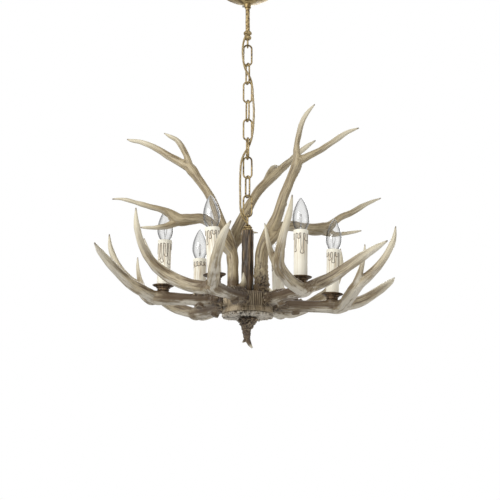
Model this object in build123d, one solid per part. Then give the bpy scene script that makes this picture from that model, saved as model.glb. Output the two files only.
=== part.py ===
from build123d import *
import os
from math import cos, hypot, pi, radians, sin, sqrt, tan

# Antler chandelier with six candle lights, hung from the ceiling on a rod and a link chain.
# Millimetres, +Z up, the ceiling is the plane Z = 0 and everything hangs below it.
# +X is to the right of someone who looks at it, +Y points away from them.

# ---------------------------------------------------------------- driving dimensions
# Ceiling fixing
BRACKET_LENGTH = 96.0
BRACKET_WIDTH = 22.0
BRACKET_THICK = 2.5
SLOT_SPACING = 70.0
SLOT_LENGTH = 14.0
SLOT_WIDTH = 5.0
CANOPY_RADIUS = 56.0
CANOPY_DEPTH = 28.0
CANOPY_WALL = 1.2
CANOPY_BORE_GAP = 0.6
CANOPY_RIM = 3.0
CEILING_GAP = 0.3
TERMINAL_LENGTH = 24.0
TERMINAL_WIDTH = 11.0
TERMINAL_HEIGHT = 8.0
TERMINAL_REACH = 23.0
COLLAR_RADIUS = 7.3
COLLAR_HEIGHT = 9.0
COLLAR_CHAMFER = 0.6
COLLAR_SCREW_RADIUS = 1.5
COLLAR_SCREW_HEAD = 2.6
COLLAR_SCREW_HEAD_LENGTH = 5.0

# Rod and knuckle
ROD_RADIUS = 5.0
ROD_BORE = 3.2
ROD_DROP = 93.0
ROD_FIT = 0.08
ROD_TOP_GAP = 0.4
NUT_ACROSS = 16.0
NUT_HEIGHT = 6.0
KNUCKLE_HEIGHT = 21.0
KNUCKLE_RADIUS = 9.4
EYE_RADIUS = 7.5
EYE_SINK = 0.5

# Chain
WIRE = 4.2
LINK_LENGTH = 52.1
LINK_WIDTH = 22.4
LINK_PLAY = 0.3
LINK_COUNT = 9

# Stem
LOOP_LEG = 14.7
LOOP_BASE_RADIUS = 7.2
LOOP_BASE_THICK = 2.5
CAP_RADIUS = 9.8
CAP_HEIGHT = 10.0
STEM_RADIUS = 12.9
STEM_GROOVE = 0.7
STEM_GROOVES = 15
STEM_LENGTH = 139.0
TUBE_RADIUS = 5.0
TUBE_BORE = 3.5
TUBE_SHORT = 0.5
TUBE_BELOW = 12.0

# Hub
HUB_RADIUS = 52.0
HUB_HEIGHT = 43.0
HUB_WALL = 5.0
RIB_HEIGHT = 1.6
RIB_COUNT = 66
BAND_HEIGHT = 9.0
BAND_FLARE = 4.0
BOSS_RADIUS = 12.0
BOSS_HEIGHT = 5.0
ROSETTE_RADIUS = 57.0
ROSETTE_THICK = 9.0
ROSETTE_LOBES = 36
ROSETTE_LOBE = 1.8
ROSETTE_EDGE = 0.93
BOLT_RADIUS = 3.0
BOLT_CLEARANCE = 0.3
BOLT_REACH = 18.0
BOLT_END_ROOM = 2.0
BOLT_HEAD_RADIUS = 5.0
BOLT_HEAD_HEIGHT = 4.0
BOLT_PAD_RADIUS = 7.0
BURR_LOBE_FOOT = 1.2
BURR_LOBE_CREST = 3.2
# Burrs: radius, height, lobes, how far they stand out, rings
ARM_BURR = (14.2, 10.0, 9, 2.6, 1)
LEFT_BURR = (12.6, 11.0, 10, 3.0, 1)
RIGHT_BURR = (13.6, 46.0, 11, 2.6, 4)
REAR_BURR = (12.0, 10.0, 9, 3.0, 1)
FINIAL_BURR = (18.0, 6.0, 11, 1.6, 1)
ARM_BURR_START = 2.0

# Candles, measured up from the centre line of the arm that carries them
CANDLE_REACH = 124.4
CUP_FOOT = 16.0
CUP_HEIGHT = 9.0
CUP_RADIUS = 15.4
CUP_FOOT_SHARE = 0.8
PAN_RADIUS = 23.5
PAN_DEPTH = 4.4
PAN_WALL = 1.4
SLEEVE_RADIUS = 14.0
SLEEVE_WALL = 1.5
SLEEVE_LENGTH = 99.0
SLEEVE_LIP = 1.2
SLEEVE_LIP_HEIGHT = 8.0
SLEEVE_LIP_RISE = 1.5
SLEEVE_LIP_ROUND = 1.2
SLEEVE_LIP_EASE = 0.2
HOLDER_RADIUS = 11.6
HOLDER_SHORT = 8.0
HOLDER_WIDE_PART = 40.0
HOLDER_STEP = 2.0
HOLDER_STALK = 0.6
SOCKET_DEPTH = 26.0
BULB_RADIUS = 17.5
BULB_SHOWS = 70.0
BULB_NECK = 8.6
GLASS_WALL = 1.0
CAP_SHELL = 6.8
CAP_LENGTH = 25.0
CAP_SHOWS = 2.0
CAP_CONTACT = 3.0
CAP_TAPER = 3.0
CAP_TAPER_SHARE = 0.8
STALK_FOOT = 4.5
STALK_TIP = 2.0
STALK_LENGTH = 20.0
FILAMENT_RADIUS = 1.4
FILAMENT_LENGTH = 22.0
MOVING_GAP = 0.3

# The arms: where each one points, clockwise seen from above, and how it leans
ARM_NAMES = ("right", "front_right", "front_left", "left", "rear_left", "rear_right")
ARM_BEARINGS = (-3.2, 53.8, 110.8, 171.0, 233.1, 293.1)
ARM_DIPS = (-2.5, -0.2, 0.0, 1.2, -0.2, 1.5)
ARM_ROLLS = (0.6, 0.9, -3.4, 0.6, -0.1, 0.5)
ARM_SIDE = 12.7
ARM_BELOW_TOP = 18.4

# Cast arm routes: x out from the flat butt, y to the side, z up, radius
BEAM = ((0, 0, 0, 15.0), (16, -1, 0, 14.0), (60, -6, 0, 12.6), (110, -11, 1, 13.6), (144, -12.7, 2.4, 14.4),
        (157, -14, 4, 11.0))
FORK_LIMB = ((132, -13, 2, 10.0), (144, -32, 2, 13.0), (155, -72, 15, 13.4), (167, -101, 34, 12.6),
             (194, -119, 58, 9.6), (221, -128, 95, 7.4), (236, -128, 130, 5.4), (240, -126, 158, 1.4))
FORK_PRONG = ((152, -70, 14, 9.0), (163, -105, 37, 8.4), (169, -124, 62, 5.8), (173, -135, 88, 4.2),
              (174, -142, 112, 1.3))
LONG_TINE = ((138, -14, 2, 11.0), (160, -2, 9, 12.6), (188, 12, 20, 11.8), (218, 30, 40, 10.6),
             (247, 53, 64, 8.8), (266, 72, 81, 5.8), (276, 87, 93, 1.4))

# Upper antler routes: x right, y away, z up from the hub's top plate, radius
LEFT_ROOT = (-31.0, -12.0)
LEFT_TRUNK = ((0, 0, 0, 13.6), (0, 0, 22, 12.4), (0, 0, 48, 11.6), (-1, 0, 80, 11.8), (-8, 1, 112, 11.4),
              (-25, 4, 153, 10.6),
              (-48, 10, 211, 9.6), (-80, 18, 261, 10.2), (-96, 22, 284, 11.4), (-105, 24, 294, 6.5))
LEFT_LONG_PRONG = ((-90, 21, 277, 9.0), (-119, 28, 299, 9.6), (-141, 32, 312, 8.8), (-164, 37, 328, 7.7),
                   (-186, 42, 341, 6.8), (-209, 46, 351, 5.2), (-232, 50, 356, 3.1), (-239, 52, 359, 1.3))
LEFT_SHORT_PRONG = ((-93, 22, 279, 8.5), (-105, 23, 314, 6.6), (-117, 21, 336, 6.1), (-126, 20, 347, 5.4),
                    (-141, 18, 355, 4.2), (-154, 17, 362, 1.3))
LEFT_BRANCH = ((-4, -1, 86, 9.0), (-13, -4, 101, 14.0), (-30, -12, 126, 13.0), (-47, -24, 147, 11.2),
               (-64, -32, 155, 10.6), (-91, -42, 152, 12.2), (-114, -51, 149, 13.0), (-133, -57, 157, 8.6))
LEFT_BRANCH_UPPER = ((-106, -48, 150, 9.0), (-133, -57, 161, 9.2), (-154, -63, 169, 7.0), (-174, -68, 173, 6.0),
                     (-195, -72, 178, 5.6), (-216, -76, 184, 4.4), (-237, -80, 187, 2.9), (-253, -83, 186, 1.4))
LEFT_BRANCH_LOWER = ((-104, -47, 149, 8.0), (-125, -54, 140, 8.0), (-143, -61, 132, 6.4), (-163, -68, 128, 4.6),
                     (-180, -73, 127, 3.7), (-193, -78, 126, 1.6))
LEFT_SPIKE = ((4, -6, 4, 6.0), (13, -12, 9, 6.6), (22, -20, 17, 6.2), (23, -24, 27, 4.6), (22, -26, 41, 1.3))

RIGHT_ROOT = (30.0, -14.0)
RIGHT_TRUNK = ((0, 0, 0, 15.0), (0, -1, 25, 14.6), (-1, -2, 50, 14.2), (2, -4, 93, 14.0), (17, -7, 132, 13.4),
               (36, -12, 171, 11.6),
               (46, -16, 203, 10.6), (65, -22, 250, 10.2), (77, -26, 283, 11.6), (77, -28, 301, 7.6))
RIGHT_TALL_PRONG = ((71, -24, 264, 8.0), (76, -27, 290, 8.6), (76, -29, 313, 6.9), (80, -32, 340, 5.9),
                    (90, -36, 374, 5.3), (101, -38, 392, 4.4), (116, -40, 409, 1.4))
RIGHT_LONG_PRONG = ((68, -23, 262, 8.6), (82, -26, 285, 9.6), (94, -26, 292, 8.8), (127, -24, 310, 6.6),
                    (149, -22, 325, 6.4), (189, -18, 353, 4.8), (213, -16, 363, 1.4))
RIGHT_BRANCH = ((6, -5, 98, 9.0), (20, -6, 119, 13.4), (42, 6, 145, 11.8), (63, 18, 151, 11.2), (91, 40, 151, 12.0),
                (125, 64, 154, 13.6), (149, 80, 164, 11.4), (163, 86, 172, 7.6))
RIGHT_BRANCH_UPPER = ((136, 71, 158, 9.0), (155, 82, 169, 9.4), (177, 92, 188, 7.6), (200, 100, 200, 6.9),
                      (241, 114, 226, 5.0), (273, 124, 241, 1.5))
RIGHT_BRANCH_LOWER = ((122, 62, 153, 8.6), (144, 78, 152, 9.4), (165, 88, 149, 6.0), (188, 98, 153, 4.9),
                      (206, 104, 157, 3.8), (226, 110, 162, 1.5))
RIGHT_STUB = ((42, -14, 186, 6.5), (49, -15, 190, 6.0), (54, -16, 194, 3.0))

REAR_ROOT = (-33.0, 33.0)
REAR_TRUNK = ((0, 0, 0, 12.4), (0, 1, 30, 11.0), (-1, 3, 65, 10.6), (-2, 9, 102, 12.0), (4, 15, 139, 12.6),
              (18, 21, 172, 12.0),
              (32, 27, 201, 11.4), (45, 33, 227, 10.4), (65, 41, 257, 10.8), (88, 49, 282, 11.0),
              (113, 57, 308, 9.0), (133, 63, 327, 7.4), (153, 69, 348, 6.2), (171, 73, 364, 5.0),
              (189, 77, 378, 1.5))
REAR_PALM = ((72, 43, 264, 9.0), (86, 59, 295, 10.0), (95, 79, 313, 7.4), (103, 97, 323, 2.0))
REAR_TINE = ((-2, 9, 108, 9.0), (13, 15, 128, 7.8), (30, 20, 141, 5.2), (43, 22, 148, 3.4), (56, 23, 148, 1.2))

# The finial below the burr disc
FINIAL_BODY = ((0, 0, 0, 19.0), (0, 0, -7, 18.6), (-0.5, 0, -14, 17.0), (-1.5, 0, -22, 10.2), (-1.5, 0, -32, 8.0),
               (-1, 0, -44, 7.0))
FINIAL_SHORT_TIP = ((-1, 0, -34, 6.0), (-3, 0, -44, 5.2), (-11, -1, -52, 1.4))
FINIAL_LONG_TIP = ((-1, 0, -34, 6.0), (0.5, 0, -46, 5.6), (5, 1, -56, 4.2), (10, 1.5, -64, 1.4))

UPPER_ROOTS = (LEFT_ROOT, RIGHT_ROOT, REAR_ROOT)

# The flex, from the knuckle to the stem, laced through the chain
CORD_RADIUS = 2.4
CORD_ROUTE = ((-3.4, -4.5, -102.0), (-8.5, -7.0, -116.0), (-11.5, -7.6, -137.0), (-10.7, -7.0, -160.0),
              (-6.6, -3.4, -180.5), (0.5, 0.4, -194.0), (7.1, -3.1, -206.5), (10.9, -7.0, -227.0),
              (11.8, -7.6, -252.0), (14.2, -7.0, -280.0), (13.2, -7.6, -306.0), (11.8, -7.6, -331.0),
              (6.8, -3.6, -354.0), (-0.5, 0.6, -367.0), (-8.0, -2.9, -380.0), (-14.6, -5.2, -399.0),
              (-16.0, -3.8, -424.0), (-16.6, -2.6, -452.0), (-15.8, -3.0, -480.0), (-16.0, -3.4, -504.0),
              (-11.4, -3.0, -523.0), (-2.6, -0.8, -532.0), (0.0, 0.0, -541.5), (0.0, 0.2, -550.0))

# ---------------------------------------------------------------- heights down the axis
KNUCKLE_TOP = -ROD_DROP
KNUCKLE_FOOT = KNUCKLE_TOP - KNUCKLE_HEIGHT
EYE_CENTRE = KNUCKLE_FOOT - EYE_RADIUS - WIRE / 2 + EYE_SINK
EYE_LOW_WIRE = EYE_CENTRE - EYE_RADIUS
WIRE_STEP = WIRE + LINK_PLAY
LINK_HALF = (LINK_LENGTH - WIRE) / 2
LINK_BEND = (LINK_WIDTH - WIRE) / 2
LINK_PITCH = 2 * LINK_HALF - WIRE_STEP
FIRST_LINK = EYE_LOW_WIRE + WIRE_STEP - LINK_HALF
LAST_LINK = FIRST_LINK - (LINK_COUNT - 1) * LINK_PITCH
LOOP_TOP_WIRE = LAST_LINK - LINK_HALF + WIRE_STEP
LOOP_BEND_CENTRE = LOOP_TOP_WIRE - LINK_BEND
LOOP_BASE_TOP = LOOP_BEND_CENTRE - LOOP_LEG
CAP_TOP = LOOP_BASE_TOP - LOOP_BASE_THICK
STEM_TOP = CAP_TOP - CAP_HEIGHT
HUB_TOP = STEM_TOP - STEM_LENGTH
HUB_FOOT = HUB_TOP - HUB_HEIGHT
ROSETTE_FOOT = HUB_FOOT - ROSETTE_THICK
BUTT_RADIUS = HUB_RADIUS + BOSS_HEIGHT
DRUM_BORE = HUB_RADIUS - HUB_WALL
ARM_GRIP = BUTT_RADIUS - sqrt(DRUM_BORE ** 2 - (ARM_SIDE + BOLT_PAD_RADIUS) ** 2) + BOLT_CLEARANCE
TUBE_TOP = CAP_TOP - TUBE_SHORT
TUBE_FOOT = ROSETTE_FOOT - TUBE_BELOW


def ring(outer, inner, low, high):
    """A plain round ring between two heights on the main axis."""
    body = Pos(0, 0, (low + high) / 2) * Cylinder(outer, high - low)
    return body - Pos(0, 0, (low + high) / 2) * Cylinder(inner, (high - low) + 2)


def lobed_outline(radius, depth, lobes, steps=2):
    """A closed outline that waves in and out between radius - depth and radius."""
    count = lobes * steps
    points = []
    for i in range(count):
        swing = (1 - cos(2 * pi * i / steps)) / 2
        r = radius - depth * (1 - swing)
        points.append((r * cos(2 * pi * i / count), r * sin(2 * pi * i / count)))
    return Polygon(*points, align=None)


def hexagon_nut(across, bore, low, height):
    """A hexagon nut on the main axis."""
    nut = extrude(RegularPolygon(across / sqrt(3), 6), height)
    return Pos(0, 0, low) * (nut - Pos(0, 0, height / 2) * Cylinder(bore, height + 2))


def limb(knots, start=None):
    """A tapering limb: a smooth loft through round sections that stand square to its route."""
    points = [Vector(*knot[:3]) for knot in knots]
    last = len(points) - 1
    side = None
    sections = []
    for i, point in enumerate(points):
        along = (points[min(i + 1, last)] - points[max(i - 1, 0)]).normalized()
        if i == 0 and start is not None:
            along = Vector(*start)
        if side is None:
            side = along.cross(Vector(0.3, 1, 0.2)).normalized()
        side = (side - along * side.dot(along)).normalized()
        plane = Plane(origin=point, x_dir=side, z_dir=along)
        sections.append(plane * Circle(knots[i][3]))
    return loft(sections)


def burr(radius, height, lobes, grow, rings):
    """The rough coronet round the foot of an antler, as lobed rings stacked along +Z."""
    narrow = lobed_outline(radius, BURR_LOBE_FOOT, lobes)
    wide = lobed_outline(radius + grow, BURR_LOBE_CREST, lobes)
    sections = [narrow]
    for i in range(rings):
        sections.append(Pos(0, 0, (i + 0.5) * height / rings) * wide)
        sections.append(Pos(0, 0, (i + 1) * height / rings) * narrow)
    return loft(sections, ruled=True)


def bolt_hole(reach):
    """A blind clearance hole up from the joint face."""
    return Cylinder(BOLT_RADIUS + BOLT_CLEARANCE, reach + BOLT_END_ROOM,
                    align=(Align.CENTER, Align.CENTER, Align.MIN))


# ---------------------------------------------------------------- ceiling fixing
def ceiling_bracket():
    bar = Pos(0, 0, -BRACKET_THICK / 2) * Box(BRACKET_LENGTH, BRACKET_WIDTH, BRACKET_THICK)
    bar = fillet(bar.edges().filter_by(Axis.Z), BRACKET_WIDTH / 4)
    bar -= Cylinder(ROD_RADIUS + ROD_FIT, 3 * BRACKET_THICK)
    for side in (-1, 1):
        slot = extrude(SlotOverall(SLOT_LENGTH, SLOT_WIDTH), BRACKET_THICK * 2, both=True)
        bar -= Pos(side * SLOT_SPACING / 2, 0, 0) * slot
    return bar


def canopy():
    bore = ROD_RADIUS + CANOPY_BORE_GAP
    rim_foot = -CEILING_GAP - CANOPY_RIM
    outer = Spline((CANOPY_RADIUS, rim_foot), (CANOPY_RADIUS * 0.86, -CANOPY_DEPTH * 0.34),
                   (CANOPY_RADIUS * 0.5, -CANOPY_DEPTH * 0.68), (COLLAR_RADIUS, -CANOPY_DEPTH),
                   tangents=((0, -1), (-1, -0.25)))
    rim = Line((CANOPY_RADIUS, -CEILING_GAP), (CANOPY_RADIUS, rim_foot))
    floor_line = Line((COLLAR_RADIUS, -CANOPY_DEPTH), (bore, -CANOPY_DEPTH))
    inner_wall = CANOPY_RADIUS - CANOPY_WALL
    lift = CANOPY_WALL * 1.1
    inner = Spline((inner_wall, rim_foot), (inner_wall * 0.86, -CANOPY_DEPTH * 0.34 + lift),
                   (inner_wall * 0.5, -CANOPY_DEPTH * 0.68 + lift), (COLLAR_RADIUS, -CANOPY_DEPTH + lift),
                   tangents=((0, -1), (-1, -0.25)))
    inner_rim = Line((inner_wall, -CEILING_GAP), (inner_wall, rim_foot))
    inner_floor = Line((COLLAR_RADIUS, -CANOPY_DEPTH + lift), (bore, -CANOPY_DEPTH + lift))
    top = Line((CANOPY_RADIUS, -CEILING_GAP), (inner_wall, -CEILING_GAP))
    bore_line = Line((bore, -CANOPY_DEPTH), (bore, -CANOPY_DEPTH + lift))
    profile = make_face([outer, rim, floor_line, inner, inner_rim, inner_floor, top, bore_line])
    return revolve(Plane.XZ * profile, Axis.Z)


def canopy_collar():
    top = -CANOPY_DEPTH
    body = ring(COLLAR_RADIUS, ROD_RADIUS + ROD_FIT, top - COLLAR_HEIGHT, top)
    body = chamfer(body.edges().filter_by(GeomType.CIRCLE).sort_by(Axis.Z)[:1], COLLAR_CHAMFER)
    screw_hole = Pos(-COLLAR_RADIUS, 0, top - COLLAR_HEIGHT / 2)
    return body - screw_hole * Rot(0, 90, 0) * Cylinder(COLLAR_SCREW_RADIUS + ROD_FIT, 2 * COLLAR_RADIUS - 6)


def collar_screw():
    height = -CANOPY_DEPTH - COLLAR_HEIGHT / 2
    tip = -ROD_RADIUS - MOVING_GAP
    seat = -COLLAR_RADIUS - MOVING_GAP
    shank_length = tip - seat + 1
    shank = Pos(tip - shank_length / 2, 0, height) * Rot(0, 90, 0) * Cylinder(COLLAR_SCREW_RADIUS, shank_length)
    head_centre = seat - COLLAR_SCREW_HEAD_LENGTH / 2
    knurl = extrude(lobed_outline(COLLAR_SCREW_HEAD, 0.4, 12), COLLAR_SCREW_HEAD_LENGTH / 2, both=True)
    return shank + Pos(head_centre, 0, height) * Rot(0, 90, 0) * knurl


def downrod():
    return ring(ROD_RADIUS, ROD_BORE, KNUCKLE_TOP, -ROD_TOP_GAP)


def rod_nut():
    return hexagon_nut(NUT_ACROSS, ROD_RADIUS + ROD_FIT, -BRACKET_THICK - NUT_HEIGHT, NUT_HEIGHT)


def terminal_block():
    block = Box(TERMINAL_LENGTH, TERMINAL_WIDTH, TERMINAL_HEIGHT)
    block = fillet(block.edges().filter_by(Axis.Z), TERMINAL_WIDTH / 8)
    way = TERMINAL_LENGTH / 3
    for i in (-1, 0, 1):
        block -= Pos(i * way, 0, -TERMINAL_HEIGHT / 2) * Cylinder(way / 4, TERMINAL_HEIGHT)
    return Pos(TERMINAL_REACH, 0, -BRACKET_THICK - TERMINAL_HEIGHT / 2) * block


def rod_loop():
    """The knuckle under the rod: two turned beads with an eye below for the first link."""
    r = KNUCKLE_RADIUS
    h = KNUCKLE_HEIGHT
    z = KNUCKLE_TOP
    outline = [(0, 0), (ROD_RADIUS + 1.2, 0), (r * 0.9, -0.1 * h), (r, -0.24 * h), (r * 0.86, -0.38 * h),
               (r * 0.62, -0.47 * h), (r * 0.62, -0.53 * h), (r * 0.84, -0.62 * h), (r * 0.88, -0.74 * h),
               (r * 0.7, -0.9 * h), (r * 0.42, -h), (0, -h)]
    profile = Polygon(*[(x, z + y) for x, y in outline], align=None)
    body = revolve(Plane.XZ * profile, Axis.Z)
    eye = Pos(0, 0, EYE_CENTRE) * Rot(0, 90, 0) * Torus(EYE_RADIUS, WIRE / 2)
    start, along = Vector(*CORD_ROUTE[0]), Vector(*CORD_ROUTE[1]) - Vector(*CORD_ROUTE[0])
    outlet = Plane(origin=start - along.normalized() * 2, z_dir=along) * Cylinder(
        CORD_RADIUS + MOVING_GAP, 2 * KNUCKLE_RADIUS, align=(Align.CENTER, Align.CENTER, Align.MIN))
    return body + eye - outlet


# ---------------------------------------------------------------- chain
def chain_link(number):
    """One oval link, number 1 facing the viewer, each next one turned a quarter."""
    straight = LINK_HALF - LINK_BEND
    bend = revolve(Pos(LINK_BEND, 0, 0) * Rot(90, 0, 0) * Circle(WIRE / 2), Axis.Z, 180)
    bend = Rot(90, 0, 0) * bend
    side = Cylinder(WIRE / 2, 2 * straight)
    link = Pos(LINK_BEND, 0, 0) * side + Pos(-LINK_BEND, 0, 0) * side
    link += Pos(0, 0, straight) * bend + Pos(0, 0, -straight) * Rot(180, 0, 0) * bend
    turn = 0 if number % 2 else 90
    return Pos(0, 0, FIRST_LINK - (number - 1) * LINK_PITCH) * Rot(0, 0, turn) * link


# ---------------------------------------------------------------- stem
def stem_loop():
    """The hoop on top of the stem, square to the last link, with the flex hole in its foot."""
    bend = revolve(Pos(LINK_BEND, 0, 0) * Rot(90, 0, 0) * Circle(WIRE / 2), Axis.Z, 180)
    bend = Pos(0, 0, LOOP_BEND_CENTRE) * Rot(0, 0, 90) * Rot(90, 0, 0) * bend
    leg = Cylinder(WIRE / 2, LOOP_LEG, align=(Align.CENTER, Align.CENTER, Align.MAX))
    loop = bend
    for side in (-1, 1):
        loop += Pos(0, side * LINK_BEND, LOOP_BEND_CENTRE) * leg
    foot = Pos(0, 0, CAP_TOP) * extrude(SlotOverall(2 * (LINK_BEND + WIRE / 2) + 1, 2 * LOOP_BASE_RADIUS, 90),
                                        LOOP_BASE_THICK)
    return loop + foot - Pos(0, 0, CAP_TOP) * Cylinder(TUBE_BORE, 4 * LOOP_BASE_THICK)


def stem_cap():
    """Turned cap with two beads, threaded on the tube."""
    r = CAP_RADIUS
    h = CAP_HEIGHT
    outline = [(TUBE_RADIUS + ROD_FIT, 0), (r * 0.8, 0), (r * 0.98, -0.12 * h), (r, -0.26 * h),
               (r * 0.9, -0.42 * h), (r * 0.82, -0.5 * h), (r * 1.08, -0.6 * h), (r * 1.16, -0.74 * h),
               (r * 1.08, -0.9 * h), (r * 0.96, -h), (TUBE_RADIUS + ROD_FIT, -h)]
    return revolve(Plane.XZ * Polygon(*[(x, CAP_TOP + y) for x, y in outline], align=None), Axis.Z)


def stem_sleeve():
    """The bark-like column, a fluted tube round the threaded tube."""
    outline = lobed_outline(STEM_RADIUS + STEM_GROOVE, 2 * STEM_GROOVE, STEM_GROOVES, 4)
    column = Pos(0, 0, HUB_TOP) * extrude(outline, STEM_LENGTH)
    return column - Pos(0, 0, HUB_TOP + STEM_LENGTH / 2) * Cylinder(TUBE_RADIUS + MOVING_GAP, STEM_LENGTH + 2)


def threaded_tube():
    return ring(TUBE_RADIUS, TUBE_BORE, TUBE_FOOT, TUBE_TOP)


# ---------------------------------------------------------------- hub
def arm_place(index):
    """Where the flat butt of an arm meets its boss; +X runs out along the arm."""
    turn = Pos(0, 0, HUB_TOP - ARM_BELOW_TOP) * Rot(0, 0, -ARM_BEARINGS[index])
    lean = Rot(0, -ARM_DIPS[index], 0) * Rot(-ARM_ROLLS[index], 0, 0)
    return turn * lean * Pos(BUTT_RADIUS, ARM_SIDE, 0)


def bolt_spot(root):
    """On the top plate, under an upper antler's root, where its bolt head clears the drum's wall."""
    reach = min(hypot(*root), HUB_RADIUS - HUB_WALL - BOLT_HEAD_RADIUS - BOLT_CLEARANCE)
    share = reach / hypot(*root)
    return Pos(root[0] * share, root[1] * share, HUB_TOP)


def hub_drum():
    """Ribbed drum, closed on top, with a boss for each arm and a smooth flared band below."""
    ribbed = extrude(lobed_outline(HUB_RADIUS + RIB_HEIGHT / 2, RIB_HEIGHT, RIB_COUNT), HUB_HEIGHT - BAND_HEIGHT)
    drum = Pos(0, 0, HUB_FOOT + BAND_HEIGHT) * ribbed
    band = Pos(0, 0, HUB_FOOT + BAND_HEIGHT / 2) * Cone(HUB_RADIUS + BAND_FLARE, HUB_RADIUS + 0.5, BAND_HEIGHT)
    drum += band
    along = Cylinder(BOSS_RADIUS, 2 * BOSS_HEIGHT + HUB_WALL, align=(Align.CENTER, Align.CENTER, Align.MAX))
    for i in range(len(ARM_NAMES)):
        drum += arm_place(i) * Rot(0, 90, 0) * along
    cavity_height = HUB_HEIGHT - HUB_WALL
    drum -= Pos(0, 0, HUB_FOOT + cavity_height / 2) * Cylinder(HUB_RADIUS - HUB_WALL, cavity_height)
    pad = Cylinder(BOLT_PAD_RADIUS, HUB_WALL, align=(Align.CENTER, Align.CENTER, Align.MIN))
    hole = Cylinder(BOLT_RADIUS + BOLT_CLEARANCE, 6 * HUB_WALL)
    for i in range(len(ARM_NAMES)):
        drum += arm_place(i) * Rot(0, 90, 0) * Pos(0, 0, -ARM_GRIP) * pad
    for i in range(len(ARM_NAMES)):
        drum -= arm_place(i) * Rot(0, 90, 0) * hole
    for root in UPPER_ROOTS:
        drum -= bolt_spot(root) * hole
    return drum - Pos(0, 0, HUB_TOP) * Cylinder(TUBE_RADIUS + ROD_FIT, 6 * HUB_WALL)


def hub_rosette():
    """The cast burr disc that closes the drum from below."""
    wide = lobed_outline(ROSETTE_RADIUS, ROSETTE_LOBE, ROSETTE_LOBES)
    narrow = lobed_outline(ROSETTE_RADIUS * ROSETTE_EDGE, ROSETTE_LOBE, ROSETTE_LOBES)
    disc = loft([narrow, Pos(0, 0, ROSETTE_THICK * 0.55) * wide, Pos(0, 0, ROSETTE_THICK) * narrow], ruled=True)
    disc = Pos(0, 0, ROSETTE_FOOT) * disc
    return disc - Pos(0, 0, ROSETTE_FOOT) * Cylinder(TUBE_RADIUS + ROD_FIT, 4 * ROSETTE_THICK)


def finial():
    """A small burr with a stub that splits in two tips."""
    body = limb(FINIAL_BODY, start=(0, 0, -1)) + limb(FINIAL_SHORT_TIP) + limb(FINIAL_LONG_TIP)
    body += Rot(180, 0, 0) * burr(*FINIAL_BURR)
    thread = Cylinder(TUBE_RADIUS + ROD_FIT, 2 * TUBE_BELOW + 1)
    return Pos(0, 0, ROSETTE_FOOT) * (body - thread)


def hub_nuts():
    """The two nuts that clamp the tube, one under the drum's top plate and one on the rosette."""
    upper = hexagon_nut(NUT_ACROSS, TUBE_RADIUS + ROD_FIT, HUB_TOP - HUB_WALL - NUT_HEIGHT, NUT_HEIGHT)
    lower = hexagon_nut(NUT_ACROSS, TUBE_RADIUS + ROD_FIT, HUB_FOOT, NUT_HEIGHT)
    return Compound(children=[upper, lower])


def bolt(reach, grip):
    """A bolt along +X whose head lies grip behind the joint face."""
    shank = Cylinder(BOLT_RADIUS, reach + grip, align=(Align.CENTER, Align.CENTER, Align.MIN))
    head = Cylinder(BOLT_HEAD_RADIUS, BOLT_HEAD_HEIGHT, align=(Align.CENTER, Align.CENTER, Align.MAX))
    return Rot(0, 90, 0) * Pos(0, 0, -grip) * (shank + head)


def arm_bolts():
    return Compound(children=[arm_place(i) * bolt(BOLT_REACH, ARM_GRIP) for i in range(len(ARM_NAMES))])


def upper_antler_bolts():
    up = Rot(0, -90, 0) * bolt(BOLT_REACH, HUB_WALL)
    return Compound(children=[bolt_spot(root) * up for root in UPPER_ROOTS])


# ---------------------------------------------------------------- antlers
def cast_arm():
    """The arm casting in its own frame: butt at the origin, beam along +X."""
    arm = limb(BEAM, start=(1, 0, 0)) + limb(FORK_LIMB) + limb(FORK_PRONG) + limb(LONG_TINE)
    arm += Pos(ARM_BURR_START, 0, 0) * Rot(0, 90, 0) * burr(*ARM_BURR)
    foot = Pos(CANDLE_REACH, -ARM_SIDE, 0)
    seat = Cylinder(CUP_RADIUS * CUP_FOOT_SHARE, CUP_FOOT, align=(Align.CENTER, Align.CENTER, Align.MIN))
    facing = Cylinder(CUP_RADIUS + MOVING_GAP, CUP_HEIGHT, align=(Align.CENTER, Align.CENTER, Align.MIN))
    arm += foot * seat
    arm -= foot * Pos(0, 0, CUP_FOOT) * facing
    return arm - Rot(0, 90, 0) * bolt_hole(BOLT_REACH)


def upper_antler(root, limbs, root_burr):
    """An antler that stands on the hub's top plate, with its bolt hole."""
    body = limb(limbs[0], start=(0, 0, 1))
    for knots in limbs[1:]:
        body += limb(knots)
    body += Pos(0, 0, MOVING_GAP) * root_burr
    widest = 3 * STEM_RADIUS
    body -= Cylinder(widest, widest, align=(Align.CENTER, Align.CENTER, Align.MAX))
    placed = Pos(root[0], root[1], HUB_TOP) * body
    return placed - bolt_spot(root) * bolt_hole(BOLT_REACH)


def left_antler():
    limbs = (LEFT_TRUNK, LEFT_LONG_PRONG, LEFT_SHORT_PRONG, LEFT_BRANCH, LEFT_BRANCH_UPPER, LEFT_BRANCH_LOWER,
             LEFT_SPIKE)
    return upper_antler(LEFT_ROOT, limbs, burr(*LEFT_BURR))


def right_antler():
    limbs = (RIGHT_TRUNK, RIGHT_TALL_PRONG, RIGHT_LONG_PRONG, RIGHT_BRANCH, RIGHT_BRANCH_UPPER,
             RIGHT_BRANCH_LOWER, RIGHT_STUB)
    return upper_antler(RIGHT_ROOT, limbs, burr(*RIGHT_BURR))


def rear_antler():
    return upper_antler(REAR_ROOT, (REAR_TRUNK, REAR_PALM, REAR_TINE), burr(*REAR_BURR))


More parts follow.
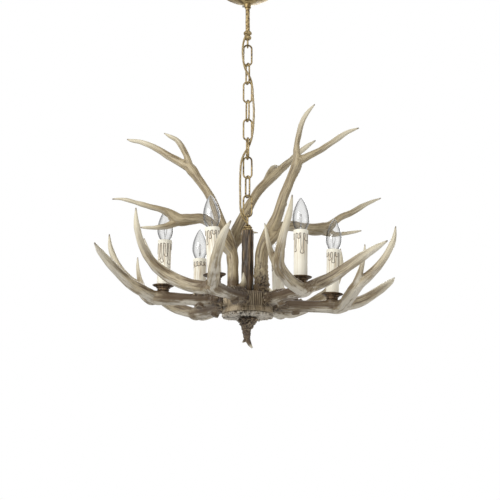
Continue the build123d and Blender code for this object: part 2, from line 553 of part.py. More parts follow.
# ---------------------------------------------------------------- candles
PAN_SEAT = CUP_FOOT + CUP_HEIGHT
PAN_FLOOR = PAN_SEAT + PAN_WALL
SLEEVE_FOOT = PAN_FLOOR + MOVING_GAP
SLEEVE_TOP = SLEEVE_FOOT + SLEEVE_LENGTH
HOLDER_TOP = SLEEVE_TOP - HOLDER_SHORT
BULB_FOOT = HOLDER_TOP + MOVING_GAP
BULB_TIP = SLEEVE_TOP + BULB_SHOWS


def candle_place(index):
    return arm_place(index) * Pos(CANDLE_REACH, -ARM_SIDE, 0)


def turned(points):
    """A body of revolution from radius and height pairs."""
    return revolve(Plane.XZ * Polygon(*points, align=None), Axis.Z)


def candle_cup():
    r = CUP_RADIUS
    z = CUP_FOOT
    h = CUP_HEIGHT
    return turned([(0, z), (r * 0.72, z), (r * 0.84, z + 0.25 * h), (r * 0.84, z + 0.6 * h), (r, z + 0.75 * h),
                   (r, z + h), (0, z + h)])


def drip_pan():
    z = PAN_SEAT
    r = PAN_RADIUS
    return turned([(0, z), (r * 0.55, z), (r * 0.86, z + 0.35 * PAN_DEPTH), (r, z + PAN_DEPTH),
                   (r - PAN_WALL, z + PAN_DEPTH), (r * 0.82, z + 0.35 * PAN_DEPTH + PAN_WALL),
                   (r * 0.66, z + PAN_WALL), (0, z + PAN_WALL)])


def lampholder():
    stalk = HOLDER_RADIUS * HOLDER_STALK
    shoulder = HOLDER_TOP - HOLDER_WIDE_PART
    body = turned([(0, PAN_FLOOR), (stalk, PAN_FLOOR), (stalk, shoulder - HOLDER_STEP), (HOLDER_RADIUS, shoulder),
                   (HOLDER_RADIUS, HOLDER_TOP), (0, HOLDER_TOP)])
    socket = Pos(0, 0, HOLDER_TOP - SOCKET_DEPTH) * Cylinder(
        CAP_SHELL + MOVING_GAP, SOCKET_DEPTH + 1, align=(Align.CENTER, Align.CENTER, Align.MIN))
    return body - socket


def candle_sleeve():
    """The card candle tube with its drip rim."""
    inner = SLEEVE_RADIUS - SLEEVE_WALL
    return turned([(inner, SLEEVE_FOOT), (SLEEVE_RADIUS, SLEEVE_FOOT), (SLEEVE_RADIUS, SLEEVE_TOP - SLEEVE_LIP_HEIGHT),
                   (SLEEVE_RADIUS + SLEEVE_LIP, SLEEVE_TOP - SLEEVE_LIP_HEIGHT + SLEEVE_LIP_RISE),
                   (SLEEVE_RADIUS + SLEEVE_LIP, SLEEVE_TOP - SLEEVE_LIP_ROUND),
                   (SLEEVE_RADIUS + SLEEVE_LIP_EASE, SLEEVE_TOP),
                   (inner, SLEEVE_TOP)])


def bulb_outline(shrink):
    """Candle bulb half outline from its neck to its tip, drawn in by the wall."""
    glass = BULB_TIP - BULB_FOOT
    shape = ((0.0, 0.46), (0.09, 0.56), (0.2, 0.8), (0.33, 0.98), (0.42, 1.0), (0.55, 0.94), (0.7, 0.76),
             (0.84, 0.5), (0.95, 0.24))
    points = [(max(BULB_RADIUS * width - shrink, 1.0), BULB_FOOT + glass * height) for height, width in shape]
    return points, (0, BULB_TIP - shrink)


def bulb_glass():
    outer, outer_tip = bulb_outline(0)
    inner, inner_tip = bulb_outline(GLASS_WALL)
    outer_line = Spline(*outer, outer_tip, tangents=((0.2, 1), (-1, 0)))
    inner_line = Spline(*inner, inner_tip, tangents=((0.2, 1), (-1, 0)))
    foot = Line(outer[0], inner[0])
    tip = Line(outer_tip, inner_tip)
    return revolve(Plane.XZ * make_face([outer_line, inner_line, foot, tip]), Axis.Z)


def bulb_cap():
    """Screw cap, with the glass stem and filament that stand on it."""
    low = BULB_FOOT - CAP_LENGTH + CAP_SHOWS
    shell = turned([(0, low), (CAP_CONTACT, low), (CAP_SHELL * CAP_TAPER_SHARE, low + CAP_TAPER),
                    (CAP_SHELL, low + CAP_TAPER + 1), (CAP_SHELL, BULB_FOOT), (0, BULB_FOOT)])
    standing = (Align.CENTER, Align.CENTER, Align.MIN)
    stalk = Pos(0, 0, BULB_FOOT) * Cone(STALK_FOOT, STALK_TIP, STALK_LENGTH, align=standing)
    filament = Pos(0, 0, BULB_FOOT + STALK_LENGTH) * Cylinder(FILAMENT_RADIUS, FILAMENT_LENGTH, align=standing)
    return shell + stalk + filament


# ---------------------------------------------------------------- flex
def cord_radii(points):
    """Arc radius at each corner: as large as its two runs allow."""
    radii = []
    for before, corner, after in zip(points, points[1:], points[2:]):
        first, second = corner - before, after - corner
        turn = radians(first.get_angle(second))
        radii.append(0.45 * min(first.length, second.length) / tan(turn / 2))
    return radii


def supply_cord():
    points = [Vector(*p) for p in CORD_ROUTE]
    radii = cord_radii(points)
    path = FilletPolyline(*points, radius=radii)
    section = Plane(origin=points[0], z_dir=points[1] - points[0]) * Circle(CORD_RADIUS)
    tube = sweep(section, path)
    print("cord radii", [round(r, 1) for r in radii])
    print("cord length", round(path.length, 1), "volume ratio",
          round(tube.volume / (pi * CORD_RADIUS ** 2 * path.length), 4))
    return tube


# ---------------------------------------------------------------- the parts
def build_parts():
    parts = {
        "ceiling_bracket": ceiling_bracket(), "rod_nut": rod_nut(), "terminal_block": terminal_block(),
        "canopy": canopy(), "canopy_collar": canopy_collar(), "collar_screw": collar_screw(),
        "downrod": downrod(), "rod_loop": rod_loop(), "supply_cord": supply_cord(),
        "stem_loop": stem_loop(), "stem_cap": stem_cap(), "stem_sleeve": stem_sleeve(),
        "threaded_tube": threaded_tube(), "hub_drum": hub_drum(), "hub_rosette": hub_rosette(),
        "finial": finial(), "hub_nuts": hub_nuts(), "arm_bolts": arm_bolts(),
        "upper_antler_bolts": upper_antler_bolts(), "left_upper_antler": left_antler(),
        "right_upper_antler": right_antler(), "rear_upper_antler": rear_antler(),
    }
    for number in range(1, LINK_COUNT + 1):
        parts[f"chain_link_{number}"] = chain_link(number)
    arm, sleeve, glass, cap = cast_arm(), candle_sleeve(), bulb_glass(), bulb_cap()
    cups, pans, holders = [], [], []
    for i, name in enumerate(ARM_NAMES):
        place = candle_place(i)
        parts[f"{name}_arm"] = arm_place(i) * arm
        parts[f"{name}_candle_sleeve"] = place * sleeve
        parts[f"{name}_bulb_glass"] = place * glass
        parts[f"{name}_bulb_cap"] = place * cap
        cups.append(place * candle_cup())
        pans.append(place * drip_pan())
        holders.append(place * lampholder())
    parts["candle_cups"] = Compound(children=cups)
    parts["drip_pans"] = Compound(children=pans)
    parts["lampholders"] = Compound(children=holders)
    return parts


os.makedirs("parts", exist_ok=True)
for node, shape in build_parts().items():
    export_step(shape, f"parts/{node}.step")
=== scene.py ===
# %% [markdown]
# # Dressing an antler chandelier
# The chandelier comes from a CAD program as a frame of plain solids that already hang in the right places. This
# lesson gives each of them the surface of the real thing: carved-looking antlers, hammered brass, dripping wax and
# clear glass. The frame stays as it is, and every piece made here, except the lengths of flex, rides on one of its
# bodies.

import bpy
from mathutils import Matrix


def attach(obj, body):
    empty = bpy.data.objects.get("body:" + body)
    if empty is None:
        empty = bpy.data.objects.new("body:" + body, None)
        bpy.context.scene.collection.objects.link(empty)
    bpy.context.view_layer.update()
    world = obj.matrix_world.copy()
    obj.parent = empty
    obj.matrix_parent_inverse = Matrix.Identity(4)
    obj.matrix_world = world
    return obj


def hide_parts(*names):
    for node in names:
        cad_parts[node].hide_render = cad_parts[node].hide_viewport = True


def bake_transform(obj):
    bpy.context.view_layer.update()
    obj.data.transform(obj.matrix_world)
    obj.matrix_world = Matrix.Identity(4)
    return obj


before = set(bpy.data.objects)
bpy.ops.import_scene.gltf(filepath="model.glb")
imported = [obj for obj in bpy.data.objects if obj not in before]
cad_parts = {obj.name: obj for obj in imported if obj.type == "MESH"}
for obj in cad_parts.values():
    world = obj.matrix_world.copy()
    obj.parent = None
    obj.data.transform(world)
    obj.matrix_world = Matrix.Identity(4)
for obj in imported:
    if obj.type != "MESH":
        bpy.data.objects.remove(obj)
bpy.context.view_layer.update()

# %% [markdown]
# The real pieces are given in millimetres, as a workshop drawing gives them, and Blender gets metres. One factor does
# that change in one place, when a finished mesh is handed over.

# %% Tools and units
from math import cos, pi, radians, sin, tau

import bmesh
import bpy
import numpy as np
from mathutils import Matrix, Vector

MM = 0.001
scene = bpy.context.scene
print("one millimetre is", MM, "Blender units")

# %% [markdown]
# ## Camera
# The picture was taken from a little below the candles and looks slightly up, so that the undersides of the antlers
# show. A long lens keeps the near and the far antlers almost the same size. The numbers come from the six equal arms,
# which stand sixty degrees apart.

# %% Camera
eye = bpy.data.cameras.new("eye")
eye.sensor_width = 36.0
eye.lens = 85.92
camera = bpy.data.objects.new("camera", eye)
camera.location = (0.0052, -2.520, -1.132)
camera.rotation_euler = (radians(102.03), 0, 0)
scene.collection.objects.link(camera)
scene.camera = camera
scene.view_settings.view_transform = "Standard"
print("camera stands", round(camera.location.length, 2), "m from the rod's place on the ceiling")

# %% [markdown]
# ## Writing a shader as a sum
# A material is a net of nodes. Wiring it by hand hides the idea, so a small class stands for the value that leaves a
# socket. Adding or multiplying two of them adds the Math node that does it, and `1 - mask` works as well, because the
# reflected forms are there too.

# %% A value that can be added and multiplied
class Wire:
    """What leaves one socket of a node tree."""

    def __init__(self, tree, socket):
        self.tree = tree
        self.socket = socket

    def maths(self, operation, first, second):
        return self.tree.add("ShaderNodeMath", {"operation": operation}, {0: first, 1: second})

    def __add__(self, other):
        return self.maths("ADD", self, other)

    def __sub__(self, other):
        return self.maths("SUBTRACT", self, other)

    def __rsub__(self, other):
        return self.maths("SUBTRACT", other, self)

    def __mul__(self, other):
        return self.maths("MULTIPLY", self, other)

    def larger(self, other):
        return self.maths("MAXIMUM", self, other)

    __radd__ = __add__
    __rmul__ = __mul__


print("a wire can be added, taken away, multiplied and compared")


# %% [markdown]
# Every other node comes from one method. It takes the kind of node, its settings, which have to be set first because
# they can change the sockets, and then the numbers or wires that go into the sockets.

# %% A tree of nodes
class Tree:
    """A shader or geometry node tree that is written from code."""

    def __init__(self, tree):
        self.tree = tree

    def add(self, kind, settings=None, sockets=None, out=0):
        node = self.tree.nodes.new(kind)
        for name, value in (settings or {}).items():
            setattr(node, name, value)
        for name, value in (sockets or {}).items():
            if isinstance(value, Wire):
                self.tree.links.new(value.socket, node.inputs[name])
            else:
                node.inputs[name].default_value = value
        return Wire(self, node.outputs[out]) if len(node.outputs) else node


print("a tree adds any kind of node with one method")


# %% [markdown]
# Colours are easier to judge as the eye sees them, on the 0 to 255 scale of a paint chart, while Blender works with
# the light itself. `paint` turns one into the other. The nodes that nearly every finish uses, such as cloudy noise, a
# soft step and a blend of two colours, get a short name each, so that a finish reads like a painter's recipe.

# %% Colours and common nodes
def paint(red, green, blue):
    """A colour as the eye sees it, turned into amounts of light."""
    channels = [c / 255 for c in (red, green, blue)]
    return tuple(c / 12.92 if c <= 0.04045 else ((c + 0.055) / 1.055) ** 2.4 for c in channels) + (1.0,)


class Finish(Tree):
    """One material: its tree and the nodes that most finishes use."""

    def __init__(self, name):
        self.material = bpy.data.materials.new(name)
        self.material.use_nodes = True
        self.material.node_tree.nodes.clear()
        super().__init__(self.material.node_tree)
        self.place = self.add("ShaderNodeTexCoord", out="Object")

    def read(self, name, out="Fac"):
        """A value stored on the mesh under a name."""
        return self.add("ShaderNodeAttribute", {"attribute_name": name}, out=out)

    def stretched(self, vector, factors):
        return self.add("ShaderNodeVectorMath", {"operation": "MULTIPLY"}, {0: vector, 1: factors})

    def clouds(self, scale, detail=3.0, vector=None, rough=0.5):
        return self.add("ShaderNodeTexNoise", {}, {"Vector": vector or self.place, "Scale": scale,
                                                   "Detail": detail, "Roughness": rough})

    def streaks(self, vector, factors, detail=3.0, rough=0.6):
        """Clouds that are drawn out: few of them one way, many the other."""
        return self.clouds(1.0, detail, self.stretched(vector, factors), rough)

    def cells(self, vector, feature="F1"):
        return self.add("ShaderNodeTexVoronoi", {"feature": feature}, {"Vector": vector, "Scale": 1.0}, out="Distance")

    def between(self, value, low, high):
        """0 below low, 1 above high and a soft step between them."""
        return self.add("ShaderNodeMapRange", {"interpolation_type": "SMOOTHSTEP"},
                        {"Value": value, "From Min": low, "From Max": high})

    def blend(self, share, first, second):
        return self.add("ShaderNodeMix", {"data_type": "RGBA"}, {0: share, 6: first, 7: second}, out=2)

    def raised(self, height, strength, depth):
        """A bump: height in, a tilted normal out."""
        return self.add("ShaderNodeBump", {}, {"Height": height, "Strength": strength, "Distance": depth})

    def close(self, **inputs):
        """The shader itself; a socket's name is written with underscores."""
        named = {name.replace("_", " "): value for name, value in inputs.items()}
        shader = self.add("ShaderNodeBsdfPrincipled", {}, named)
        self.add("ShaderNodeOutputMaterial", {}, {"Surface": shader})
        return self.material


print("paint(255, 255, 255) is", paint(255, 255, 255))

# %% [markdown]
# ## Light and backdrop
# A plain pale studio: a white surround, a pale floor far below and three big soft lamps. The camera, mirrors and glass
# see the surround as white through Light Path, while it sheds much less light on the object, so that the key lamp can
# still model the round shapes.

# %% Surround
world = bpy.data.worlds.new("studio")
world.use_nodes = True
world.node_tree.nodes.clear()
scene.world = world
studio = Tree(world.node_tree)


def seen_directly(tree):
    """1 for a camera, mirror or glass ray, 0 for light that falls on the object."""
    camera_ray, mirror_ray, glass_ray = (tree.add("ShaderNodeLightPath", out=name) for name in (
        "Is Camera Ray", "Is Glossy Ray", "Is Transmission Ray"))
    return camera_ray.larger(mirror_ray).larger(glass_ray)


SURROUND_LIGHT = 0.3
surround = studio.add("ShaderNodeBackground", {}, {
    "Color": (1, 1, 1, 1), "Strength": seen_directly(studio) * (1 - SURROUND_LIGHT) + SURROUND_LIGHT})
studio.add("ShaderNodeOutputWorld", {}, {"Surface": surround})
print("surround light", SURROUND_LIGHT)


# %% [markdown]
# The three lamps stand in for the soft boxes of a studio. A sun or a point lamp would give hard shadows and small
# sharp glints, while a large square makes the soft edges that painted bone needs. Rays that go through glass don't
# see them, or each bulb would show three bright squares.

# %% Lamps
def lamp(name, place, target, size, watts):
    """A large square area lamp that looks at a point and isn't seen through the bulbs' glass."""
    data = bpy.data.lights.new(name, "AREA")
    data.size = size
    data.energy = watts
    lamp_object = bpy.data.objects.new(name, data)
    lamp_object.location = place
    lamp_object.rotation_euler = (Vector(target) - Vector(place)).to_track_quat("-Z", "Y").to_euler()
    lamp_object.visible_transmission = False
    scene.collection.objects.link(lamp_object)


MIDDLE = (0, 0, -0.6)
lamp("key", (-1.7, -2.1, 0.5), MIDDLE, 1.3, 64)
lamp("fill", (2.3, -1.5, -0.9), MIDDLE, 1.8, 17)
lamp("back", (0.6, 2.2, 0.3), MIDDLE, 1.6, 30)

# %% [markdown]
# The floor lies far below, because the lamp hangs from a ceiling. One matt face is enough. It glows a little where it
# is seen directly, so that it fades into the white surround and still takes a soft shadow.

# %% Floor
FLOOR_HEIGHT = -2.3
HALF_FLOOR = 9
GLOW_SHARE = 0.55
floor_mesh = bpy.data.meshes.new("floor")
corners = [(HALF_FLOOR * x, HALF_FLOOR * y, FLOOR_HEIGHT) for x, y in ((-1, -1), (1, -1), (1, 1), (-1, 1))]
floor_mesh.from_pydata(corners, [], [(0, 1, 2, 3)])
floor = bpy.data.objects.new("floor", floor_mesh)
scene.collection.objects.link(floor)
pale = Finish("pale floor")
speckle = pale.clouds(3.0)
matt = pale.add("ShaderNodeBsdfDiffuse", {}, {"Color": pale.blend(speckle, (0.86, 0.86, 0.86, 1), (0.9, 0.9, 0.9, 1))})
glow = pale.add("ShaderNodeEmission", {}, {"Color": (1, 1, 1, 1), "Strength": 1.0})
mixed = pale.add("ShaderNodeMixShader", {}, {0: seen_directly(pale) * GLOW_SHARE, 1: matt, 2: glow})
pale.add("ShaderNodeOutputMaterial", {}, {"Surface": mixed})
floor_mesh.materials.append(pale.material)
print("floor at", FLOOR_HEIGHT, "m")

# %% [markdown]
# ## Meshes from rings
# Almost everything on this lamp is round in section: a rod, a pan, a tine. Such a shape is a stack of closed rings
# with faces between neighbours. Blender's own cylinders would need much editing by hand, while a list of rings can be
# drawn from numbers and changed again. `skin` makes the faces, and a ring that has shrunk to a point becomes a closed
# pole once its doubles are merged.

# %% Skin a stack of rings
def skin(rings, loop=False, ends=True):
    """(vertices, faces) between closed rings of equal count; loop joins the last ring to the first."""
    rings = np.asarray(rings, float)
    count, sides = rings.shape[:2]
    rows = np.arange(count if loop else count - 1)[:, None]
    here = np.arange(sides)[None, :]
    after = (here + 1) % sides
    above = (rows + 1) % count
    quads = np.stack([rows * sides + here, rows * sides + after, above * sides + after, above * sides + here], -1)
    faces = quads.reshape(-1, 4).tolist()
    if ends and not loop:
        faces.append(list(range(sides - 1, -1, -1)))
        faces.append(list(range((count - 1) * sides, count * sides)))
    return rings.reshape(-1, 3), faces


def gather(*parts):
    """Several (vertices, faces) pairs as one."""
    points, faces, start = [], [], 0
    for part_points, part_faces in parts:
        points.append(np.asarray(part_points, float))
        faces += [[start + i for i in face] for face in part_faces]
        start += len(part_points)
    return np.vstack(points), faces


print("three rings of four points make", len(skin(np.zeros((3, 4, 3)))[1]), "faces")

# %% [markdown]
# A piece is finished in one function, so that none of them misses a step: doubles merged, faces turned outwards,
# smooth shading with sharp creases kept, metres, material, and the body that it rides on.

# %% Hand a mesh over
def moved(points, matrix):
    """Points taken through a 4 x 4 matrix."""
    m = np.array(matrix)
    return points @ m[:3, :3].T + m[:3, 3]


def placed(shape, matrix):
    """A (vertices, faces) pair taken through a matrix."""
    return moved(shape[0], matrix), shape[1]


def place_mesh(name, mesh, finish, body, stands_for):
    """Puts a finished mesh, already in metres, on its body, in place of the frame's plain nodes."""
    mesh.materials.clear()
    mesh.materials.append(finish)
    piece = bpy.data.objects.new(name, mesh)
    scene.collection.objects.link(piece)
    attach(piece, body)
    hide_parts(*stands_for)


def solid_mesh(name, shape, crease=35.0):
    """A closed mesh in metres from vertices and faces in millimetres."""
    points, faces = shape
    mesh = bpy.data.meshes.new(name)
    mesh.from_pydata((np.asarray(points) * MM).tolist(), [], faces)
    work = bmesh.new()
    work.from_mesh(mesh)
    bmesh.ops.remove_doubles(work, verts=work.verts, dist=2e-6)
    bmesh.ops.recalc_face_normals(work, faces=work.faces)
    work.to_mesh(mesh)
    work.free()
    mesh.polygons.foreach_set("use_smooth", [True] * len(mesh.polygons))
    mesh.set_sharp_from_angle(angle=radians(crease))
    return mesh


def make(name, shape, finish, body, stands_for, crease=35.0):
    place_mesh(name, solid_mesh(name, shape, crease), finish, body, stands_for)


print("a mesh is scaled by", MM, "as it is handed over")


# %% [markdown]
# A turned piece is drawn as half a section, radius and height, and spun round the axis, as on a lathe. The Screw
# modifier does this too, but here a rule can also change the radius at each angle and height, where the real piece is
# ribbed, knurled or not quite true.

# %% Turn a section
def on_circle(radius, angle, height):
    """Points at some angle round the upright axis."""
    return np.stack([radius * np.cos(angle), radius * np.sin(angle), height + 0 * angle], -1)


def turned(section, steps, rule=None, axis=(0, 0)):
    """A body of revolution from a closed outline of (radius, height) pairs."""
    angles = np.arange(steps) * tau / steps
    rings = []
    for radius, height in section:
        radii = np.full(steps, float(radius))
        if rule is not None and radius > 0:
            radii = rule(radii, height, angles)
        rings.append(on_circle(radii, angles, height) + (*axis, 0))
    on_axis = [i for i, (radius, _) in enumerate(section) if radius <= 0]
    if on_axis:
        first = on_axis[0]
        return skin(rings[first:] + rings[:first] + [rings[first]], ends=False)
    return skin(rings, loop=True)


def at_height(height, section):
    """A section that was drawn from 0 upwards, put at its height."""
    return [(radius, height + rise) for radius, rise in section]


print("a turned peg of 12 sides has", len(turned([(0, 0), (1, 0), (1, 5), (0, 5)], 12)[0]), "points before merging")

# %% [markdown]
# Sections and routes are given by a few knots, as a draughtsman would, and a smooth line is drawn through them. A
# Bezier curve could do it, but this one passes through the knots themselves and carries a tube's radius along as a
# fourth number.

# %% A smooth line through knots
def curve_through(points, step):
    """A smooth line through points of any dimension, sampled about every step along its first three values."""
    p = np.asarray(points, float)
    gaps = np.maximum(np.linalg.norm(np.diff(p[:, :3], axis=0), axis=1), 1e-6)
    slopes = np.diff(p, axis=0) / gaps[:, None]
    tangents = np.empty_like(p)
    tangents[0], tangents[-1] = slopes[0], slopes[-1]
    share = (gaps[:-1] / (gaps[:-1] + gaps[1:]))[:, None]
    tangents[1:-1] = slopes[:-1] * (1 - share) + slopes[1:] * share
    out = []
    for i, gap in enumerate(gaps):
        t = (np.arange(max(1, int(round(gap / step)))) / max(1, int(round(gap / step))))[:, None]
        a, b = tangents[i] * gap, tangents[i + 1] * gap
        out.append(p[i] * (2 * t ** 3 - 3 * t ** 2 + 1) + a * (t ** 3 - 2 * t ** 2 + t)
                   + p[i + 1] * (3 * t ** 2 - 2 * t ** 3) + b * (t ** 3 - t ** 2))
    out.append(p[-1:])
    return np.vstack(out)


print("a bow through 3 knots has", len(curve_through([(0, 0), (5, 3), (10, 0)], 1.0)), "points")

# %% [markdown]
# A tube needs rings that stand square to its route and don't twist. The side of each ring is carried on from the one
# before and squared up again, which is called parallel transport. A curve with a round bevel would do for a plain
# wire, but the antlers need rings whose radius is known at every knot.

# %% Tubes along a route
def carried_frames(centres, hint=(0.3, 1.0, 0.2)):
    """Direction, side and up at each point of a route, without twist."""
    along = np.gradient(centres, axis=0)
    along /= np.linalg.norm(along, axis=1)[:, None]
    side = np.cross(along[0], hint)
    sides = []
    for direction in along:
        side = side - direction * side.dot(direction)
        side /= np.linalg.norm(side)
        sides.append(side)
    sides = np.array(sides)
    return along, sides, np.cross(along, sides)


def tube_rings(centres, radii, steps, hint=(0.3, 1.0, 0.2)):
    along, side, up = carried_frames(centres, hint)
    angles = np.arange(steps) * tau / steps
    ring = side[:, None] * np.cos(angles)[None, :, None] + up[:, None] * np.sin(angles)[None, :, None]
    return centres[:, None] + ring * np.broadcast_to(radii, len(centres))[:, None, None]


print("a tube's rings are", tube_rings(np.eye(3), 1.0, 16).shape[1], "points round")

# %% [markdown]
# ## Noise for carved surfaces
# Bone, bark and hammered metal need bumps that are uneven but the same at each run. They could be sculpted by hand or
# come from a Displace modifier, but a rule in numbers can also be asked how deep a point lies, which the paint needs.
# A small grid of random numbers, read with soft steps between its points, gives smooth hills; the nearest of scattered
# points gives knobs.

# %% Hills and knobs
GRID = 32
random_grid = np.random.default_rng(7).random((GRID, GRID, GRID))


def hills(points, layers=1):
    """Smooth noise between -1 and 1 at points given in cell widths."""
    total, size, weight = 0.0, 0.0, 1.0
    for layer in range(layers):
        p = np.asarray(points) * 2 ** layer + 17.3 * layer
        low = np.floor(p).astype(int)
        f = p - low
        f = f * f * (3 - 2 * f)
        value = 0.0
        for corner in np.ndindex(2, 2, 2):
            index = (low + corner) % GRID
            part = np.prod([f[:, k] if corner[k] else 1 - f[:, k] for k in range(3)], axis=0)
            value = value + part * random_grid[index[:, 0], index[:, 1], index[:, 2]]
        total, size, weight = total + weight * (2 * value - 1), size + weight, weight / 2
    return total / size


def knobs(points):
    """Round knobs: 1 on top of each scattered point, 0 between them."""
    low = np.floor(points).astype(int)
    nearest = np.full(len(points), 9.0)
    for step in np.ndindex(3, 3, 3):
        cell = low + np.array(step) - 1
        index = cell % GRID
        jitter = [random_grid[(index[:, 0] + 5 * k) % GRID, (index[:, 1] + 11 * k) % GRID, index[:, 2]]
                  for k in range(3)]
        centre = cell + 0.15 + 0.7 * np.stack(jitter, -1)
        nearest = np.minimum(nearest, np.linalg.norm(points - centre, axis=1))
    return np.clip(1 - (nearest / 0.62) ** 2, 0, 1)


def crust(points):
    """The relief of a burr: lumps and pits of several sizes. Bending the points first hides the cells."""
    bent = points + 3.5 * np.stack([hills(points / 10 + shift) for shift in (0.0, 5.3, 9.1)], -1)
    return 0.5 * hills(bent / 8, 3) + 0.4 * knobs(bent / 7) - 0.45 * knobs(bent / 4.6 + 5) + 0.12


print("hills run from", round(float(hills(np.random.default_rng(1).random((500, 3)) * 20).min()), 2), "upwards")

# %% [markdown]
# ## The antler finish
# The antlers are resin castings, painted like weathered bone: tan with soft lengthwise streaks, brown in the grooves
# and cream towards the points. Towards the hub they turn brown, which is partly paint and partly painted shade where
# the beams meet the hub, with painted highlights on the crests of the knobs there. Faces that look down are pale:
# partly chalk where the brush dragged and partly a painted highlight of light thrown up from below. The streaks have
# to follow each branch, so the mesh carries its own coordinates: `grain` runs round and along the branch, `tip` is the
# distance to the point, `root` the distance from the foot, `groove` how deep the surface lies, `fork` how near a fork
# is and `under` how far the surface faces down. A painted picture would need the branches unwrapped flat, with seams
# where they fork.

# %% Antler paint
DEEP_UMBER = paint(40, 29, 19)


def antler_paint(name, light, middle, dark, dry_brush_and_bounce_colour, root_reach, dry_brush_and_bounce_share):
    """Painted bone. The colours run from the crests to the grooves; the pale colour on faces that look down is partly
    dry brushing and partly a painted highlight.
    """
    f = Finish(name)
    grain = f.read("grain", "Vector")
    tip, root, under = f.read("tip"), f.read("root"), f.read("under")
    groove, fork = f.read("groove"), f.read("fork")
    broad = f.streaks(grain, (0.13, 0.13, 0.010), 4.0)
    fine = f.streaks(grain, (0.5, 0.5, 0.024))
    hair = f.streaks(grain, (1.7, 1.7, 0.07), 2.0, 0.65)
    patches = f.clouds(17.0, 4.0, rough=0.6)
    colour = f.blend(f.between(broad, 0.4, 0.6), middle, light)
    colour = f.blend(f.between(fine, 0.5, 0.64) * 0.74, colour, dark)
    colour = f.blend(f.between(groove, 0.2, 0.9) * 0.5, colour, dark)
    colour = f.blend(f.between(hair, 0.53, 0.68) * 0.48, colour, dark)
    # Dark brown towards the foot: partly brown paint, partly painted shade where the beam meets the hub; faces that
    # look down get a little less of it.
    near_root = 1 - f.between(root + (patches - 0.5) * (root_reach * 1.4), root_reach * 0.5, root_reach * 1.5)
    colour = f.blend(near_root * (0.95 - 0.35 * f.between(under, -0.1, 0.6)), colour, dark)
    # Painted highlight: the crests of the knobs near the foot are lightened as if they caught the light.
    colour = f.blend(near_root * (1 - f.between(groove, -1.0, -0.1)) * 0.6, colour, light)
    colour = f.blend(f.between(groove, 0.8, 1.5) * 0.85, colour, DEEP_UMBER)
    veins = f.between(f.cells(f.stretched(grain, (0.17, 0.17, 0.06)), "DISTANCE_TO_EDGE"), 0.0, 0.09)
    colour = f.blend(f.between(fork, 0.3, 0.7) * (1 - veins) * 0.6, colour, dark)
    cream = (1 - f.between(tip, 25.0, 120.0)) * (0.5 + 0.45 * f.between(broad, 0.35, 0.6))
    colour = f.blend(cream, colour, paint(226, 217, 192))
    # Pale on faces that look down: partly chalk from dry brushing, partly a painted highlight of light thrown up from
    # below.
    dry_brush_and_bounce_mask = f.between(patches * 0.6 + fine * 0.5 + under * 0.1, 0.56, 0.68) * f.between(root, 12.0, 55.0)
    colour = f.blend(dry_brush_and_bounce_mask * f.between(under, 0.0, 0.6) * dry_brush_and_bounce_share, colour, dry_brush_and_bounce_colour)
    pits = f.between(f.cells(f.stretched(grain, (0.75, 0.75, 0.5))), 0.12, 0.32)
    pitted = f.between(patches, 0.53, 0.62) * (1 - pits)
    colour = f.blend(pitted * 0.6, colour, dark)
    colour = f.blend((1 - f.between(tip, 1.0, 9.0)) * 0.75, colour, paint(96, 74, 50))
    relief = fine * 0.5 + hair * 0.3 + broad * 0.3 - pitted * 0.45
    return f.close(Base_Color=colour, Roughness=0.36 + 0.28 * fine, Normal=f.raised(relief, 0.6, 0.0009),
                   Specular_IOR_Level=0.45)


bone = antler_paint("painted bone", paint(202, 188, 158), paint(146, 128, 98), paint(78, 60, 40),
                    paint(229, 222, 206), 150.0, 0.72)
high_bone = antler_paint("upper antler paint", paint(192, 177, 144), paint(158, 141, 108), paint(88, 69, 45),
                         paint(216, 208, 188), 32.0, 0.5)
bark = antler_paint("dark bark", paint(186, 166, 136), paint(140, 119, 92), paint(66, 50, 34), paint(206, 192, 166),
                    60.0, 0.6)
print("antler finishes:", bone.name, "and", bark.name)

# %% [markdown]
# ## Growing an antler
# Each branch is a tapering tube through a few knots: x, y, z and radius. Tubes that overlap are joined by a voxel
# remesh, which keeps only the outer skin of them all, and the sharp valleys where they meet are then smoothed into
# the flat palms that real forks have. Last, the skin gets long grooves that follow the branches, and knobs at its
# foot. The same knots drive the CAD solids, so both keep the same shape.

# %% Where a point of the skin lies on its branch
SHARP_TIP = 2.2
NO_TIP = 220.0
TAPER_LENGTH = 190.0


def along_branch(points, route):
    """(distance along, height over the surface, cosine, sine) of points measured on one branch."""
    centres, radii = route[:, :3], route[:, 3]
    direction, side, up = carried_frames(centres)
    reach = np.concatenate([[0], np.cumsum(np.linalg.norm(np.diff(centres, axis=0), axis=1))])
    square = (points ** 2).sum(1)[:, None] + (centres ** 2).sum(1)[None, :] - 2 * points @ centres.T
    nearest = square.argmin(1)
    offset = points - centres[nearest]
    ahead = (offset * direction[nearest]).sum(1)
    across = offset - direction[nearest] * ahead[:, None]
    distance = np.maximum(np.linalg.norm(across, axis=1), 1e-6)
    travelled = np.clip(reach[nearest] + ahead, 0, reach[-1])
    radius = np.interp(travelled, reach, radii)
    return (travelled, np.linalg.norm(offset, axis=1) - radius, (across * side[nearest]).sum(1) / distance,
            (across * up[nearest]).sum(1) / distance)


